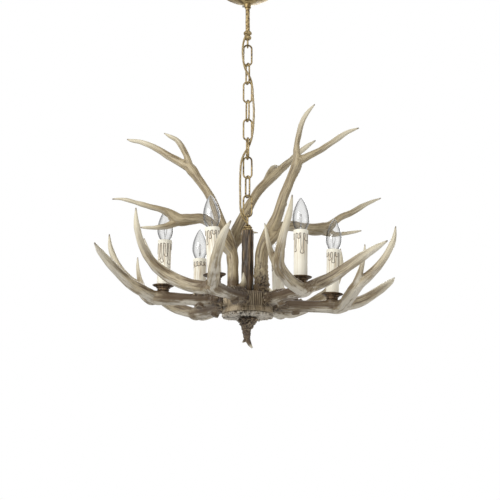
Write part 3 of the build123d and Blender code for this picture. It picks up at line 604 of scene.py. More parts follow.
def branch_coordinates(points, routes):
    """Grain, tip and root distance and fork share of each point, blended between the branches near it."""
    starts, shares, grains, tips, roots = [], [], [], [], []
    for number, route in enumerate(routes):
        start = 0.0
        if number:
            first = route[:1, :3]
            gaps = [along_branch(first, other)[1][0] for other in routes[:number]]
            parent = int(np.argmin(gaps))
            start = starts[parent] + along_branch(first, routes[parent])[0][0]
        starts.append(start)
        travelled, height, cosine, sine = along_branch(points, route)
        length = np.linalg.norm(np.diff(route[:, :3], axis=0), axis=1).sum()
        pointed = route[-1, 3] < SHARP_TIP
        short = np.clip(TAPER_LENGTH / length, 1, 4)
        shares.append(np.exp(-np.maximum(height, 0) / 2.2))
        grains.append(np.stack([9 * cosine, 9 * sine, travelled + start], -1))
        tips.append((length - travelled) * short if pointed else np.full(len(points), NO_TIP))
        roots.append(travelled + start)
    shares = np.array(shares) + 1e-9
    shares /= shares.sum(0)
    mixed = [(shares * np.array(values)).sum(0) for values in (tips, roots)]
    return (shares[:, :, None] * np.array(grains)).sum(0), mixed[0], mixed[1], 1 - shares.max(0)


print("a branch that ends under", SHARP_TIP, "mm is painted as a point")

# %% [markdown]
# The voxel remesh is a modifier, so it is run once on a helper object and its result taken as a plain mesh. Joining
# the branches with a Boolean would leave sharp seams and often fails where they touch. The smoothing follows a vertex
# group that weighs most at the forks and nothing at the points, so the tines stay as thin as they were drawn.

# %% Join and smooth
def with_modifiers(mesh, build):
    """The mesh after the modifiers that build() puts on it."""
    helper = bpy.data.objects.new("helper", mesh)
    scene.collection.objects.link(helper)
    build(helper)
    graph = bpy.context.evaluated_depsgraph_get()
    result = bpy.data.meshes.new_from_object(helper.evaluated_get(graph), depsgraph=graph)
    bpy.data.objects.remove(helper)
    bpy.data.meshes.remove(mesh)
    return result


def remeshed(shape, voxel):
    """One closed skin round overlapping closed shapes, in millimetres."""
    mesh = bpy.data.meshes.new("rough")
    mesh.from_pydata(np.asarray(shape[0]).tolist(), [], shape[1])

    def build(helper):
        modifier = helper.modifiers.new("skin", "REMESH")
        modifier.mode = "VOXEL"
        modifier.voxel_size = voxel

    return with_modifiers(mesh, build)


def places_of(mesh, what="vertices"):
    values = np.empty(len(mesh.vertices) * 3, np.float32)
    if what == "vertices":
        mesh.vertices.foreach_get("co", values)
    else:
        mesh.vertex_normals.foreach_get("vector", values)
    return values.reshape(-1, 3).astype(float)


def smoothed(mesh, weights, repeats):
    """The mesh with its weighted vertices smoothed."""
    def build(helper):
        group = helper.vertex_groups.new(name="soft")
        for level in range(1, 11):
            chosen = np.flatnonzero(np.round(weights * 10) == level)
            if len(chosen):
                group.add(chosen.tolist(), level / 10, "REPLACE")
        modifier = helper.modifiers.new("smooth", "SMOOTH")
        modifier.factor = 0.6
        modifier.iterations = repeats
        modifier.vertex_group = "soft"

    return with_modifiers(mesh, build)


# %% [markdown]
# To carve is to move each point of the skin in or out along its normal: long grooves that follow the branches, soft
# lumps, and a rough crust near the foot. Sculpting by hand would give every antler other flaws. The rule carves them
# all alike, and can keep the places flat where an antler is bolted on or carries a candle.

# %% Carve one antler
BRANCH_SIDES = 28


def branch_shape(route):
    """A closed tapering tube with a small round tip."""
    return skin(tube_rings(route[:, :3], route[:, 3], BRANCH_SIDES))


def carve(routes, extra, voxel, groove_depth, foot_knobs, foot_reach, flat, crown=None):
    """An antler in millimetres: its skin with grooves and knobs, and the named values for its paint."""
    mesh = remeshed(gather(*[branch_shape(route) for route in routes], *extra), voxel)
    points = places_of(mesh)
    _, tip, _, fork = branch_coordinates(points, routes)
    mesh = smoothed(mesh, np.clip(0.12 + 2.2 * fork, 0, 1) * np.clip(tip / 14, 0, 1), 14)
    points, normals = places_of(mesh), places_of(mesh, "normals")
    grain, tip, root, fork = branch_coordinates(points, routes)
    thick = np.clip(tip / 60, 0.12, 1)
    long_hills = hills(grain * (0.2, 0.2, 0.013), 2)
    grooves = 1 - np.abs(hills(grain * (0.34, 0.34, 0.02) + 40, 2)) * 3.2
    grooves = np.clip(grooves, 0, 1) ** 1.5
    lumps = hills(points / 17)
    calm = 0.35 + 0.65 * np.clip(0.5 + 1.3 * hills(points / 38 + 9), 0, 1)
    height = thick * (0.5 * long_hills + 0.8 * lumps - groove_depth * calm * grooves)
    foot = np.clip(1 - root / foot_reach, 0, 1) ** 0.7
    if crown is not None:
        foot = np.maximum(foot, np.clip(1.6 - np.abs(along_branch(points, crown)[1]) / 4, 0, 1))
    rough = crust(points)
    height = (height + foot * foot_knobs * rough) * flat(points)
    groove = np.clip(grooves * 0.8 - long_hills * 0.5 + foot * (0.7 - 3.6 * rough), -1, 2)
    values = {"grain": grain, "tip": tip, "root": root, "fork": fork, "groove": groove}
    return mesh, points + normals * height[:, None], values


def store(mesh, values):
    """Keeps named values on the points of a mesh for its material."""
    for name, value in values.items():
        vector = value.ndim == 2
        attribute = mesh.attributes.new(name, "FLOAT_VECTOR" if vector else "FLOAT", "POINT")
        attribute.data.foreach_set("vector" if vector else "value", value.astype(np.float32).ravel())


def carved_piece(name, carving, matrix, finish, stands_for):
    """One finished antler from a carving, turned into its place."""
    mesh, points, values = carving
    mesh = mesh.copy()
    mesh.name = name
    mesh.vertices.foreach_set("co", (moved(points, matrix) * MM).astype(np.float32).ravel())
    mesh.polygons.foreach_set("use_smooth", [True] * len(mesh.polygons))
    mesh.update()
    store(mesh, values | {"under": -places_of(mesh, "normals")[:, 2]})
    place_mesh(name, mesh, finish, "chandelier", stands_for)


print("a branch has", BRANCH_SIDES, "points round before it is carved")

# %% [markdown]
# ## The six lower antlers
# All six come out of one mould. Each has a thick beam that runs out from the hub under its candle, a long tine that
# carries on outwards and a fork that sweeps to the side and up. Near the hub it has a crusty crown on top and, below,
# the stub of a tine that was sawn off. The mould is made once, in its own frame with the beam along x, and then placed
# six times, turned and tilted a little as the bolts happened to hold them.

# %% The arm's knots, in millimetres
BEAM = ((0, 0, 0, 15.0), (16, -1, 0, 14.0), (60, -6, 0, 12.6), (110, -11, 1, 13.6), (144, -12.7, 2.4, 14.4),
        (157, -14, 4, 11.0))
FORK_LIMB = ((132, -13, 2, 10.0), (144, -32, 2, 13.0), (155, -72, 15, 13.4), (167, -101, 34, 12.6),
             (194, -119, 58, 9.6), (221, -128, 95, 7.4), (236, -128, 130, 5.4), (240, -126, 158, 1.4))
FORK_PRONG = ((152, -70, 14, 9.0), (163, -105, 37, 8.4), (169, -124, 62, 5.8), (173, -135, 88, 4.2),
              (174, -142, 112, 1.3))
LONG_TINE = ((138, -14, 2, 11.0), (160, -2, 9, 12.6), (188, 12, 20, 11.8), (218, 30, 40, 10.6),
             (247, 53, 64, 8.8), (266, 72, 81, 5.8), (276, 87, 93, 1.4))
SAWN_STUB = ((46, -4, -4, 9.5), (47, -2, -12, 9.0), (48, 0, -17.5, 8.2))
CROWN = ((4, 5, 11.5, 4.5), (18, 5, 14, 5.2), (38, 2, 13.5, 5.2), (58, -2, 11, 3.8))
CANDLE_REACH = 124.4
ARM_SIDE = 12.7
CUP_FOOT = 16.0
SAWN_REACH = 7.0
HUB_TOP = -692.0
HUB_FOOT = -735.0

candle_seat = turned([(0, -6), (13.2, -6), (12.6, 8), (12.2, CUP_FOOT), (0, CUP_FOOT)], 40,
                     axis=(CANDLE_REACH, -ARM_SIDE))
VOXEL = 1.35


def keep_faces_flat(points):
    """No carving on the butt and on the candle's seat."""
    butt = np.clip(points[:, 0] / 3, 0, 1)
    across = np.hypot(points[:, 0] - CANDLE_REACH, points[:, 1] + ARM_SIDE)
    seat = np.clip((across - 11) / 4, 0, 1) + (points[:, 2] < 8)
    return butt * np.clip(seat, 0, 1)


arm_routes = [curve_through(knots, 2.5) for knots in (BEAM, FORK_LIMB, FORK_PRONG, LONG_TINE)]
crown_line = curve_through(CROWN, 1.5)
extras = [candle_seat, branch_shape(curve_through(SAWN_STUB, 1.5)), branch_shape(crown_line)]
arm_carving = carve(arm_routes, extras, VOXEL, 0.25, 4.6, 40.0, keep_faces_flat, crown_line)
# The end of the stub counts as a deep groove right at the foot, so the paint makes it dark.
sawn = np.linalg.norm(arm_carving[1] - SAWN_STUB[-1][:3], axis=1) < SAWN_REACH
arm_carving[2]["groove"][sawn] = 1.0
arm_carving[2]["root"][sawn] = 0.0
print("arm carving:", len(arm_carving[1]), "points")

# %% [markdown]
# A bolt from inside the drum holds each arm by its flat butt. One carving is copied six times and a matrix turns its
# points into place. Turning the six objects would be shorter, but a finished piece keeps its place in its mesh.

# %% Place the six arms
ARM_NAMES = ("right", "front_right", "front_left", "left", "rear_left", "rear_right")
ARM_BEARINGS = (-3.2, 53.8, 110.8, 171.0, 233.1, 293.1)
ARM_DIPS = (-2.5, -0.2, 0.0, 1.2, -0.2, 1.5)
ARM_ROLLS = (0.6, 0.9, -3.4, 0.6, -0.1, 0.5)
BUTT_RADIUS = 57.0
BUTT_DEPTH = 18.4


def arm_place(number):
    """The flat butt of an arm on its boss, in millimetres, x running out along the arm."""
    return (Matrix.Translation((0, 0, HUB_TOP - BUTT_DEPTH))
            @ Matrix.Rotation(radians(-ARM_BEARINGS[number]), 4, "Z")
            @ Matrix.Rotation(radians(-ARM_DIPS[number]), 4, "Y")
            @ Matrix.Rotation(radians(-ARM_ROLLS[number]), 4, "X")
            @ Matrix.Translation((BUTT_RADIUS, ARM_SIDE, 0)))


for number, arm in enumerate(ARM_NAMES):
    carved_piece(f"{arm}_antler", arm_carving, arm_place(number), bone, [f"{arm}_arm"])
print("arms placed:", ", ".join(ARM_NAMES))

# %% [markdown]
# ## The three upper antlers
# These stand on the hub and rise past the candles, each from its own mould. Their knots are measured from the spot on
# the hub's top plate where the antler stands. The right one has a thick knobbly foot, the burr by which an antler
# grows on the skull.

# %% Upper antlers' knots, in millimetres
LEFT_ANTLER = (
    ((0, 0, 0, 13.6), (0, 0, 22, 12.4), (0, 0, 48, 11.6), (-1, 0, 80, 11.8), (-8, 1, 112, 11.4), (-25, 4, 153, 10.6),
     (-48, 10, 211, 9.6), (-80, 18, 261, 10.2), (-96, 22, 284, 11.4), (-105, 24, 294, 6.5)),
    ((-90, 21, 277, 9.0), (-119, 28, 299, 9.6), (-141, 32, 312, 8.8), (-164, 37, 328, 7.7), (-186, 42, 341, 6.8),
     (-209, 46, 351, 5.2), (-232, 50, 356, 3.1), (-239, 52, 359, 1.3)),
    ((-93, 22, 279, 8.5), (-105, 23, 314, 6.6), (-117, 21, 336, 6.1), (-126, 20, 347, 5.4), (-141, 18, 355, 4.2),
     (-154, 17, 362, 1.3)),
    ((-4, -1, 86, 9.0), (-13, -4, 101, 14.0), (-30, -12, 126, 13.0), (-47, -24, 147, 11.2), (-64, -32, 155, 10.6),
     (-91, -42, 152, 12.2), (-114, -51, 149, 13.0), (-133, -57, 157, 8.6)),
    ((-106, -48, 150, 9.0), (-133, -57, 161, 9.2), (-154, -63, 169, 7.0), (-174, -68, 173, 6.0),
     (-195, -72, 178, 5.6), (-216, -76, 184, 4.4), (-237, -80, 187, 2.9), (-253, -83, 186, 1.4)),
    ((-104, -47, 149, 8.0), (-125, -54, 140, 8.0), (-143, -61, 132, 6.4), (-163, -68, 128, 4.6),
     (-180, -73, 127, 3.7), (-193, -78, 126, 1.6)),
    ((4, -6, 4, 6.0), (13, -12, 9, 6.6), (22, -20, 17, 6.2), (23, -24, 27, 4.6), (22, -26, 41, 1.3)))
RIGHT_ANTLER = (
    ((0, 0, 0, 15.0), (0, -1, 25, 14.6), (-1, -2, 50, 14.2), (2, -4, 93, 14.0), (17, -7, 132, 13.4),
     (36, -12, 171, 11.6), (46, -16, 203, 10.6), (65, -22, 250, 10.2), (77, -26, 283, 11.6), (77, -28, 301, 7.6)),
    ((71, -24, 264, 8.0), (76, -27, 290, 8.6), (76, -29, 313, 6.9), (80, -32, 340, 5.9), (90, -36, 374, 5.3),
     (101, -38, 392, 4.4), (116, -40, 409, 1.4)),
    ((68, -23, 262, 8.6), (82, -26, 285, 9.6), (94, -26, 292, 8.8), (127, -24, 310, 6.6), (149, -22, 325, 6.4),
     (189, -18, 353, 4.8), (213, -16, 363, 1.4)),
    ((6, -5, 98, 9.0), (20, -6, 119, 13.4), (42, 6, 145, 11.8), (63, 18, 151, 11.2), (91, 40, 151, 12.0),
     (125, 64, 154, 13.6), (149, 80, 164, 11.4), (163, 86, 172, 7.6)),
    ((136, 71, 158, 9.0), (155, 82, 169, 9.4), (177, 92, 188, 7.6), (200, 100, 200, 6.9), (241, 114, 226, 5.0),
     (273, 124, 241, 1.5)),
    ((122, 62, 153, 8.6), (144, 78, 152, 9.4), (165, 88, 149, 6.0), (188, 98, 153, 4.9), (206, 104, 157, 3.8),
     (226, 110, 162, 1.5)),
    ((42, -14, 186, 6.5), (49, -15, 190, 6.0), (54, -16, 194, 3.0)))
REAR_ANTLER = (
    ((0, 0, 0, 12.4), (0, 1, 30, 11.0), (-1, 3, 65, 10.6), (-2, 9, 102, 12.0), (4, 15, 139, 12.6),
     (18, 21, 172, 12.0), (32, 27, 201, 11.4), (45, 33, 227, 10.4), (65, 41, 257, 10.8), (88, 49, 282, 11.0),
     (113, 57, 308, 9.0), (133, 63, 327, 7.4), (153, 69, 348, 6.2), (171, 73, 364, 5.0), (189, 77, 378, 1.5)),
    ((72, 43, 264, 9.0), (86, 59, 295, 10.0), (95, 79, 313, 7.4), (103, 97, 323, 2.0)),
    ((-2, 9, 108, 9.0), (13, 15, 128, 7.8), (30, 20, 141, 5.2), (43, 22, 148, 3.4), (56, 23, 148, 1.2)))
UPPER = {"left_upper_antler": (LEFT_ANTLER, (-31.0, -12.0), 3.6, 30.0),
         "right_upper_antler": (RIGHT_ANTLER, (30.0, -14.0), 8.0, 70.0),
         "rear_upper_antler": (REAR_ANTLER, (-33.0, 33.0), 3.6, 30.0)}
print("upper antlers:", {name: len(row[0]) for name, row in UPPER.items()}, "branches")

# %% [markdown]
# Each of the three is carved from its own knots, with a rough foot that is high on the right one and low on the other
# two. The foot is cut off flat just over the plate that it stands on.

# %% Carve and place the upper antlers
FOOT_GAP = 0.15


def keep_foot_flat(points):
    return np.clip(points[:, 2] / 3, 0, 1)


for node, (knot_lists, (right, away), foot_knobs, foot_reach) in UPPER.items():
    routes = [curve_through(knots, 2.5) for knots in knot_lists]
    carving = carve(routes, [], VOXEL, 0.22, foot_knobs, foot_reach, keep_foot_flat)
    points = carving[1]
    points[:, 2] = np.maximum(points[:, 2], FOOT_GAP)
    carved_piece(node.replace("upper", "high"), carving, Matrix.Translation((right, away, HUB_TOP)), high_bone,
                 [node])
    print(node, len(points), "points")

# %% [markdown]
# ## Pieces that repeat: Geometry Nodes
# Ribs round the hub, pearls on the burr disc and the oval links of the chain all repeat one small shape by a rule.
# Geometry Nodes say the rule once, with its sizes as named inputs. The script runs the tree on an empty helper object
# and takes a plain mesh from it, because a file for other programs can't hold the tree.

# %% Build and run a geometry tree
class Rule(Tree):
    """A geometry tree with named inputs, ending in realized instances and a material."""

    def __init__(self, name, inputs):
        group = bpy.data.node_groups.new(name, "GeometryNodeTree")
        super().__init__(group)
        group.interface.new_socket(name="Geometry", in_out="OUTPUT", socket_type="NodeSocketGeometry")
        self.codes = {}
        for label, kind in {**inputs, "Finish": "Material"}.items():
            self.codes[label] = group.interface.new_socket(name=label, in_out="INPUT",
                                                           socket_type="NodeSocket" + kind).identifier

    def take(self, label):
        return self.add("NodeGroupInput", out=label)

    def finish(self, geometry):
        real = self.add("GeometryNodeRealizeInstances", {}, {"Geometry": geometry})
        painted = self.add("GeometryNodeSetMaterial", {}, {"Geometry": real, "Material": self.take("Finish")})
        self.add("NodeGroupOutput", {}, {"Geometry": painted})

    def vector(self, x=0.0, y=0.0, z=0.0):
        return self.add("ShaderNodeCombineXYZ", {}, {"X": x, "Y": y, "Z": z})

    def run(self, name, finish, **values):
        """A plain mesh in millimetres."""
        def build(helper):
            modifier = helper.modifiers.new("rule", "NODES")
            modifier.node_group = self.tree
            modifier[self.codes["Finish"]] = finish
            for label, value in values.items():
                modifier[self.codes[label]] = value

        return with_modifiers(bpy.data.meshes.new(name), build)


def shape_of(mesh):
    """Vertices and faces of a mesh, and the mesh is let go."""
    shape = places_of(mesh), [tuple(polygon.vertices) for polygon in mesh.polygons]
    bpy.data.meshes.remove(mesh)
    return shape


print("a rule ends in realized instances with their material set")

# %% [markdown]
# The first rule sets small shapes round a circle. Each is a rounded bar that is squeezed and stretched by its own
# random share, so a ring of them reads as carved by hand.

# %% Rule: bars round a circle
bars = Rule("bars round a circle", {
    "Count": "Int", "Radius": "Float", "Height": "Float", "Width": "Float", "Depth": "Float", "Length": "Float",
    "Uneven": "Float", "Sides": "Int", "Seed": "Int"})
circle = bars.add("GeometryNodeMeshCircle", {}, {"Vertices": bars.take("Count"), "Radius": bars.take("Radius")})
lifted = bars.add("GeometryNodeSetPosition", {}, {"Geometry": circle, "Offset": bars.vector(z=bars.take("Height"))})
bead = bars.add("GeometryNodeMeshUVSphere", {}, {"Segments": bars.take("Sides"), "Rings": 6, "Radius": 1.0})
position = bars.add("GeometryNodeInputPosition")
level = bars.add("ShaderNodeVectorMath", {"operation": "MULTIPLY"}, {0: position, 1: (1, 1, 0)})
outward = bars.add("FunctionNodeAlignRotationToVector", {"axis": "X"}, {"Vector": level})
chance = bars.add("FunctionNodeRandomValue", {"data_type": "FLOAT"}, {2: 0.0, 3: 1.0, "Seed": bars.take("Seed")},
                  out=1)
other_chance = bars.add("FunctionNodeRandomValue", {"data_type": "FLOAT"},
                        {2: 0.0, 3: 1.0, "Seed": bars.take("Seed") + 1}, out=1)
share = 1 - chance * bars.take("Uneven")
other_share = 1 - other_chance * bars.take("Uneven")
size = bars.vector(bars.take("Depth") * share, bars.take("Width") * other_share, bars.take("Length") * share)
ring_of_bars = bars.add("GeometryNodeInstanceOnPoints", {}, {"Points": lifted, "Instance": bead,
                                                             "Rotation": outward, "Scale": size})
bars.finish(ring_of_bars)
print("rule inputs:", ", ".join(bars.codes))

# %% [markdown]
# ## The hub
# The drum in the middle carries all nine antlers. It is cast with fine upright ribs like the edge of a burr, has a
# smooth band at its foot and a round boss behind each arm. The ribs could be grooves pressed into the wall by a rule
# of its radius, but then they would all be the same and need a very fine mesh. So the drum is turned, and the ribs
# are uneven bars set round it.

# %% Hub drum
WALL_RADIUS = 51.2
BAND_HEIGHT = 9.0
RIB_COUNT = 66
RIB_MIDDLE = 16.8
RIB_HALF = 17.2


def uneven_wall(radii, height, angles):
    """A cast wall that isn't quite true."""
    return radii + 0.5 * hills(on_circle(radii, angles, height) / 9.0, 2)


drum_top = [(r, -0.1) for r in (0, 20, 40, 47)] + [(49.5, -0.6), (50.8, -1.8), (WALL_RADIUS, -4)]
drum_band = [(52.4, BAND_HEIGHT - 0.6), (53.4, 6), (54.6, 3), (55.4, 0.8), (54.6, 0.1), (47, 0.1)]
drum_outline = at_height(HUB_TOP, drum_top)
drum_outline += [(WALL_RADIUS, z) for z in np.linspace(HUB_TOP - 8, HUB_FOOT + BAND_HEIGHT, 8)]
drum_outline += at_height(HUB_FOOT, drum_band) + at_height(HUB_TOP, [(47, -5), (0, -5)])
drum_parts = [turned(drum_outline, 144, uneven_wall)]
boss = turned([(0, -10), (12, -10), (12, -0.9), (11.2, -0.15), (0, -0.15)], 32)
for number in range(len(ARM_NAMES)):
    on_arm = arm_place(number) @ Matrix.Rotation(radians(90), 4, "Y")
    drum_parts.append(placed(boss, on_arm))
ribs = shape_of(bars.run("ribs", bark, Count=RIB_COUNT, Radius=WALL_RADIUS + 0.1,
                         Height=HUB_FOOT + BAND_HEIGHT + RIB_MIDDLE, Width=1.75, Depth=1.5, Length=RIB_HALF,
                         Uneven=0.16, Sides=8, Seed=3))
print("ribs:", RIB_COUNT, "with", len(ribs[1]), "faces")


# %% [markdown]
# The hub, the disc under it and the column are painted like the antlers, but they have no branches to measure along.
# They get the same named values from their place round the main axis, so one recipe serves them all. Only the groove
# differs, and each piece brings its own rule for it.

# %% Values for pieces without branches
FAR_FROM_ROOT = 200.0


def turned_values(points, groove):
    """The antler paint's values for a piece that is round about the main axis."""
    angle = np.arctan2(points[:, 1], points[:, 0])
    around = np.hypot(points[:, 0], points[:, 1]).mean()
    many = len(points)
    return {"grain": on_circle(around, angle, points[:, 2]), "tip": np.full(many, NO_TIP),
            "root": np.full(many, FAR_FROM_ROOT), "fork": np.zeros(many), "groove": groove}


def painted_piece(name, shape, finish, stands_for, groove):
    """A resin piece on the main axis; groove is a rule from points in millimetres."""
    mesh = solid_mesh(name, shape, 50.0)
    points = places_of(mesh) / MM
    store(mesh, turned_values(points, groove(points)) | {"under": -places_of(mesh, "normals")[:, 2]})
    place_mesh(name, mesh, finish, "chandelier", stands_for)


def drum_groove(points):
    """Deep between the ribs, shallow on the band."""
    radius = np.hypot(points[:, 0], points[:, 1])
    ribbed = (points[:, 2] > HUB_FOOT + BAND_HEIGHT) & (points[:, 2] < HUB_TOP - 1)
    return np.where(ribbed, np.clip((52.6 - radius) / 1.2, -0.5, 1), 0.1)


hub_paint = antler_paint("hub paint", paint(190, 173, 144), paint(156, 138, 110), paint(62, 46, 31),
                         paint(190, 178, 154), 70.0, 0.5)
painted_piece("ribbed_hub", gather(*drum_parts, ribs), hub_paint, ["hub_drum"], drum_groove)
print("hub", 2 * WALL_RADIUS, "mm across at its wall")

# %% [markdown]
# The disc under the hub is cast from a real burr: a pale crust with pearls that stand out unevenly at the rim. Three
# rings of pearls, from the rule that made the ribs, sit on a turned disc whose edge wanders in and out.

# %% Burr disc
DISC_THICK = 9.0
DISC_FOOT = HUB_FOOT - DISC_THICK


def crusty(radii, height, angles):
    ring = on_circle(radii, angles, height)
    near_rim = np.clip((radii - 30) / 20, 0, 1)
    return radii + near_rim * (1.6 * hills(ring / 13.0) + 5.5 * crust(ring) - 1.2)


disc_foot = [(r, 2.4 - 2.2 * r / 53) for r in (0, 6, 12, 18, 24, 30, 36, 42, 47, 50)]
disc_rim = [(52.4, 0.6), (53.8, 2.4), (54.4, 4.4), (53.8, 6.6)]
disc_outline = at_height(DISC_FOOT, disc_foot + disc_rim) + at_height(HUB_FOOT, [(52.4, -0.8), (50, -0.1), (0, -0.1)])
disc = turned(disc_outline, 180, crusty)
under = disc[0]
low_side = under[:, 2] < HUB_FOOT - 3
under[:, 2] += np.where(low_side, 1.4 - 4.5 * crust(under), 0)
under[:, 2] = np.maximum(under[:, 2], DISC_FOOT + 0.1)
PEARL_RINGS = ((40, 53.0, 4.6, 3.2, 3.0, 3.4, 11), (34, 48.5, 2.6, 2.9, 3.4, 2.2, 12),
               (27, 42.0, 2.2, 2.6, 3.2, 1.8, 13))
pearls = [shape_of(bars.run("pearls", bone, Count=count, Radius=radius, Height=DISC_FOOT + rise, Width=wide,
                            Depth=deep, Length=long, Uneven=0.5, Sides=8, Seed=seed))
          for count, radius, rise, wide, deep, long, seed in PEARL_RINGS]
crusted = antler_paint("burr crust", paint(214, 206, 190), paint(182, 170, 150), paint(84, 68, 50),
                       paint(232, 226, 214), 24.0, 0.3)


def crust_groove(points):
    return np.clip(1.0 - 4.2 * crust(points) + 0.8 * hills(points / 3.0, 2), -1, 2)


painted_piece("burr_disc", gather(disc, *pearls), crusted, ["hub_rosette"], crust_groove)
print("burr disc", round(2 * np.hypot(disc[0][:, 0], disc[0][:, 1]).max()), "mm across, pearls:", len(pearls), "rings")

# %% [markdown]
# Under the disc hangs the finial, a small antler piece that ends in a split, twisted stub. It is grown in the same
# way as the big antlers, with stronger knobs.

# %% Finial
FINIAL = (((0, 0, 0, 18.6), (0, 0, -6, 19.0), (-0.5, 0, -13, 15.8), (-1.2, 0, -20, 11.2), (-1.6, 0, -30, 8.4),
           (-1.2, 0, -42, 7.0), (-1.4, 0, -47, 5.0)),
          ((-1, 0, -34, 6.0), (-3, 0, -44, 5.2), (-11, -1, -52, 1.5)),
          ((-1, 0, -34, 6.0), (0.5, 0, -46, 5.6), (5, 1, -56, 4.2), (10, 1.5, -63.6, 1.5)))
finial_routes = [curve_through(knots, 1.5) for knots in FINIAL]


def keep_top_flat(points):
    return np.clip(-points[:, 2] / 2.5, 0, 1)


finial_carving = carve(finial_routes, [], 0.9, 0.4, 6.5, 46.0, keep_top_flat)
finial_carving[2]["root"][:] = 30.0
finial_carving[2]["tip"][:] *= 2.2
finial_carving[1][:, 2] = np.minimum(finial_carving[1][:, 2], -FOOT_GAP)
carved_piece("twisted_finial", finial_carving, Matrix.Translation((0, 0, DISC_FOOT)), bark, ["finial"])
print("finial:", len(finial_carving[1]), "points")

# %% [markdown]
# ## The stem
# The column between the hub and the chain looks like a stripped branch: dark, with deep upright grooves. A bump in
# its material would leave its outline straight, so it is a turned tube whose radius follows noise that is stretched
# along its height.

# %% Bark column
STEM_TOP = -553.0
COLUMN_RADIUS = 13.0
TUBE_BORE = 5.35
COLUMN_HEIGHTS = np.linspace(HUB_TOP + 0.1, STEM_TOP - 0.1, 90)


def bark_depth(angle, height):
    """How much of a furrow each place on the column has, and how broken its ridges are."""
    wall = on_circle(COLUMN_RADIUS, angle, height)
    furrow = np.clip(1 - np.abs(hills(wall / (4.2, 4.2, 60), 2)) * 3.0, 0, 1)
    return furrow, hills(wall / (8, 8, 14), 2)


def barky(radii, height, angles):
    furrow, broken = bark_depth(angles, height)
    return radii + np.where(radii > TUBE_BORE, 0.1 + 0.5 * broken - 1.5 * furrow, 0)


column_outline = [(COLUMN_RADIUS, z) for z in COLUMN_HEIGHTS] + [(TUBE_BORE, z) for z in COLUMN_HEIGHTS[[-1, 0]]]
column_paint = antler_paint("column paint", paint(156, 134, 102), paint(116, 95, 70), paint(34, 24, 16),
                            paint(170, 152, 122), 60.0, 0.4)


def column_groove(points):
    furrow, broken = bark_depth(np.arctan2(points[:, 1], points[:, 0]), points[:, 2])
    return np.clip(2.4 * furrow - 0.2 - 0.6 * broken, -1, 1.4)


painted_piece("bark_column", turned(column_outline, 120, barky), column_paint, ["stem_sleeve"],
              column_groove)
print("column", round(STEM_TOP - HUB_TOP), "mm tall")

# %% [markdown]
# ## Antique brass
# The canopy, rod, knuckle and chain are brass with an antique finish: a champagne gold that is darker and browner in
# every dip, with mottled patches where the lacquer has worn. Metal shows mostly what it mirrors, and one even colour
# would look like plastic or chrome. So noise drives its base colour and its roughness, and a hammered bump breaks up
# the highlights.

# %% Brass
def brass_finish(name, bright, aged, dark, hammer, grain_size=220.0, metal=0.6):
    f = Finish(name)
    mottle = f.clouds(60.0, 5.0, rough=0.65)
    dents = f.clouds(grain_size, 2.0, rough=0.5)
    scratches = f.streaks(f.place, (900.0, 900.0, 90.0), rough=0.7)
    colour = f.blend(f.between(mottle, 0.38, 0.6), aged, bright)
    colour = f.blend((1 - f.between(dents, 0.36, 0.54)) * 0.85, colour, dark)
    colour = f.blend(f.between(scratches, 0.58, 0.75) * 0.4, colour, dark)
    return f.close(Base_Color=colour, Metallic=metal, Roughness=0.38 + 0.3 * f.between(mottle, 0.3, 0.7),
                   Normal=f.raised(dents + scratches * 0.25, hammer, 0.0012))


brass = brass_finish("antique brass", paint(178, 158, 114), paint(138, 118, 78), paint(62, 46, 28), 0.8)
smooth_brass = brass_finish("lacquered brass", paint(186, 166, 120), paint(158, 138, 94), paint(96, 76, 46), 0.25, 90.0)
bronze = brass_finish("dark bronze", paint(122, 100, 74), paint(88, 70, 50), paint(44, 32, 22), 0.4, 160.0, 0.4)
print("metals:", brass.name, smooth_brass.name, bronze.name)

# %% [markdown]
# ## Ceiling canopy and rod
# The canopy is a shallow spun dome with a collar below it, in which a small knurled screw holds it to the rod. Spun
# parts are turned from a section, outside down and inside back up, so the wall has its real thickness.

# %% Canopy and collar
CANOPY_RADIUS = 56.0
CANOPY_DEPTH = 28.0
CANOPY_WALL = 1.2
CANOPY_BORE = 5.6
dome = curve_through([(CANOPY_RADIUS, -0.3), (CANOPY_RADIUS, -3.3), (48.2, -9.5), (28.0, -19.0),
                      (7.3, -CANOPY_DEPTH)], 1.4)
inside = curve_through([(7.0, -CANOPY_DEPTH + 1.5), (27.4, -17.6), (47.0, -8.3), (CANOPY_RADIUS - CANOPY_WALL, -3.3),
                        (CANOPY_RADIUS - CANOPY_WALL, -0.3)], 2.5)
dome_outline = [*dome, (CANOPY_BORE, -CANOPY_DEPTH), (CANOPY_BORE, -CANOPY_DEPTH + 1.3), *inside]
make("spun_canopy", turned(dome_outline, 128), smooth_brass, "canopy", ["canopy"])
print("canopy", 2 * CANOPY_RADIUS, "mm across and", CANOPY_DEPTH, "mm deep")

# %% [markdown]
# The rod is rolled with a bark-like pattern, so its wall isn't smooth: noise stretched along the rod moves the outer
# face a few tenths of a millimetre. The knuckle under it is two turned beads with an eye for the first link.

# %% Rod and knuckle
ROD_FOOT = -93.0
ROD_TOP = -0.4
ROD_RADIUS = 5.0
ROD_BORE = 3.2
SMOOTH_LENGTH = 39.0


def rolled(radii, height, angles):
    """Smooth inside the canopy and its collar, rolled below them."""
    pattern = hills(on_circle(ROD_RADIUS, angles, height) / (2.6, 2.6, 6.5), 2)
    below_collar = np.clip((-height - SMOOTH_LENGTH) / 4, 0, 1)
    return radii + np.where(radii > ROD_BORE, below_collar * (0.42 * pattern - 0.2), 0)


rod_outline = [(ROD_RADIUS, z) for z in np.linspace(ROD_FOOT, ROD_TOP, 110)]
rod_outline += [(ROD_BORE, ROD_TOP), (ROD_BORE, ROD_FOOT)]
make("rolled_rod", turned(rod_outline, 48, rolled), brass, "ceiling_fixing", ["downrod"], 60.0)

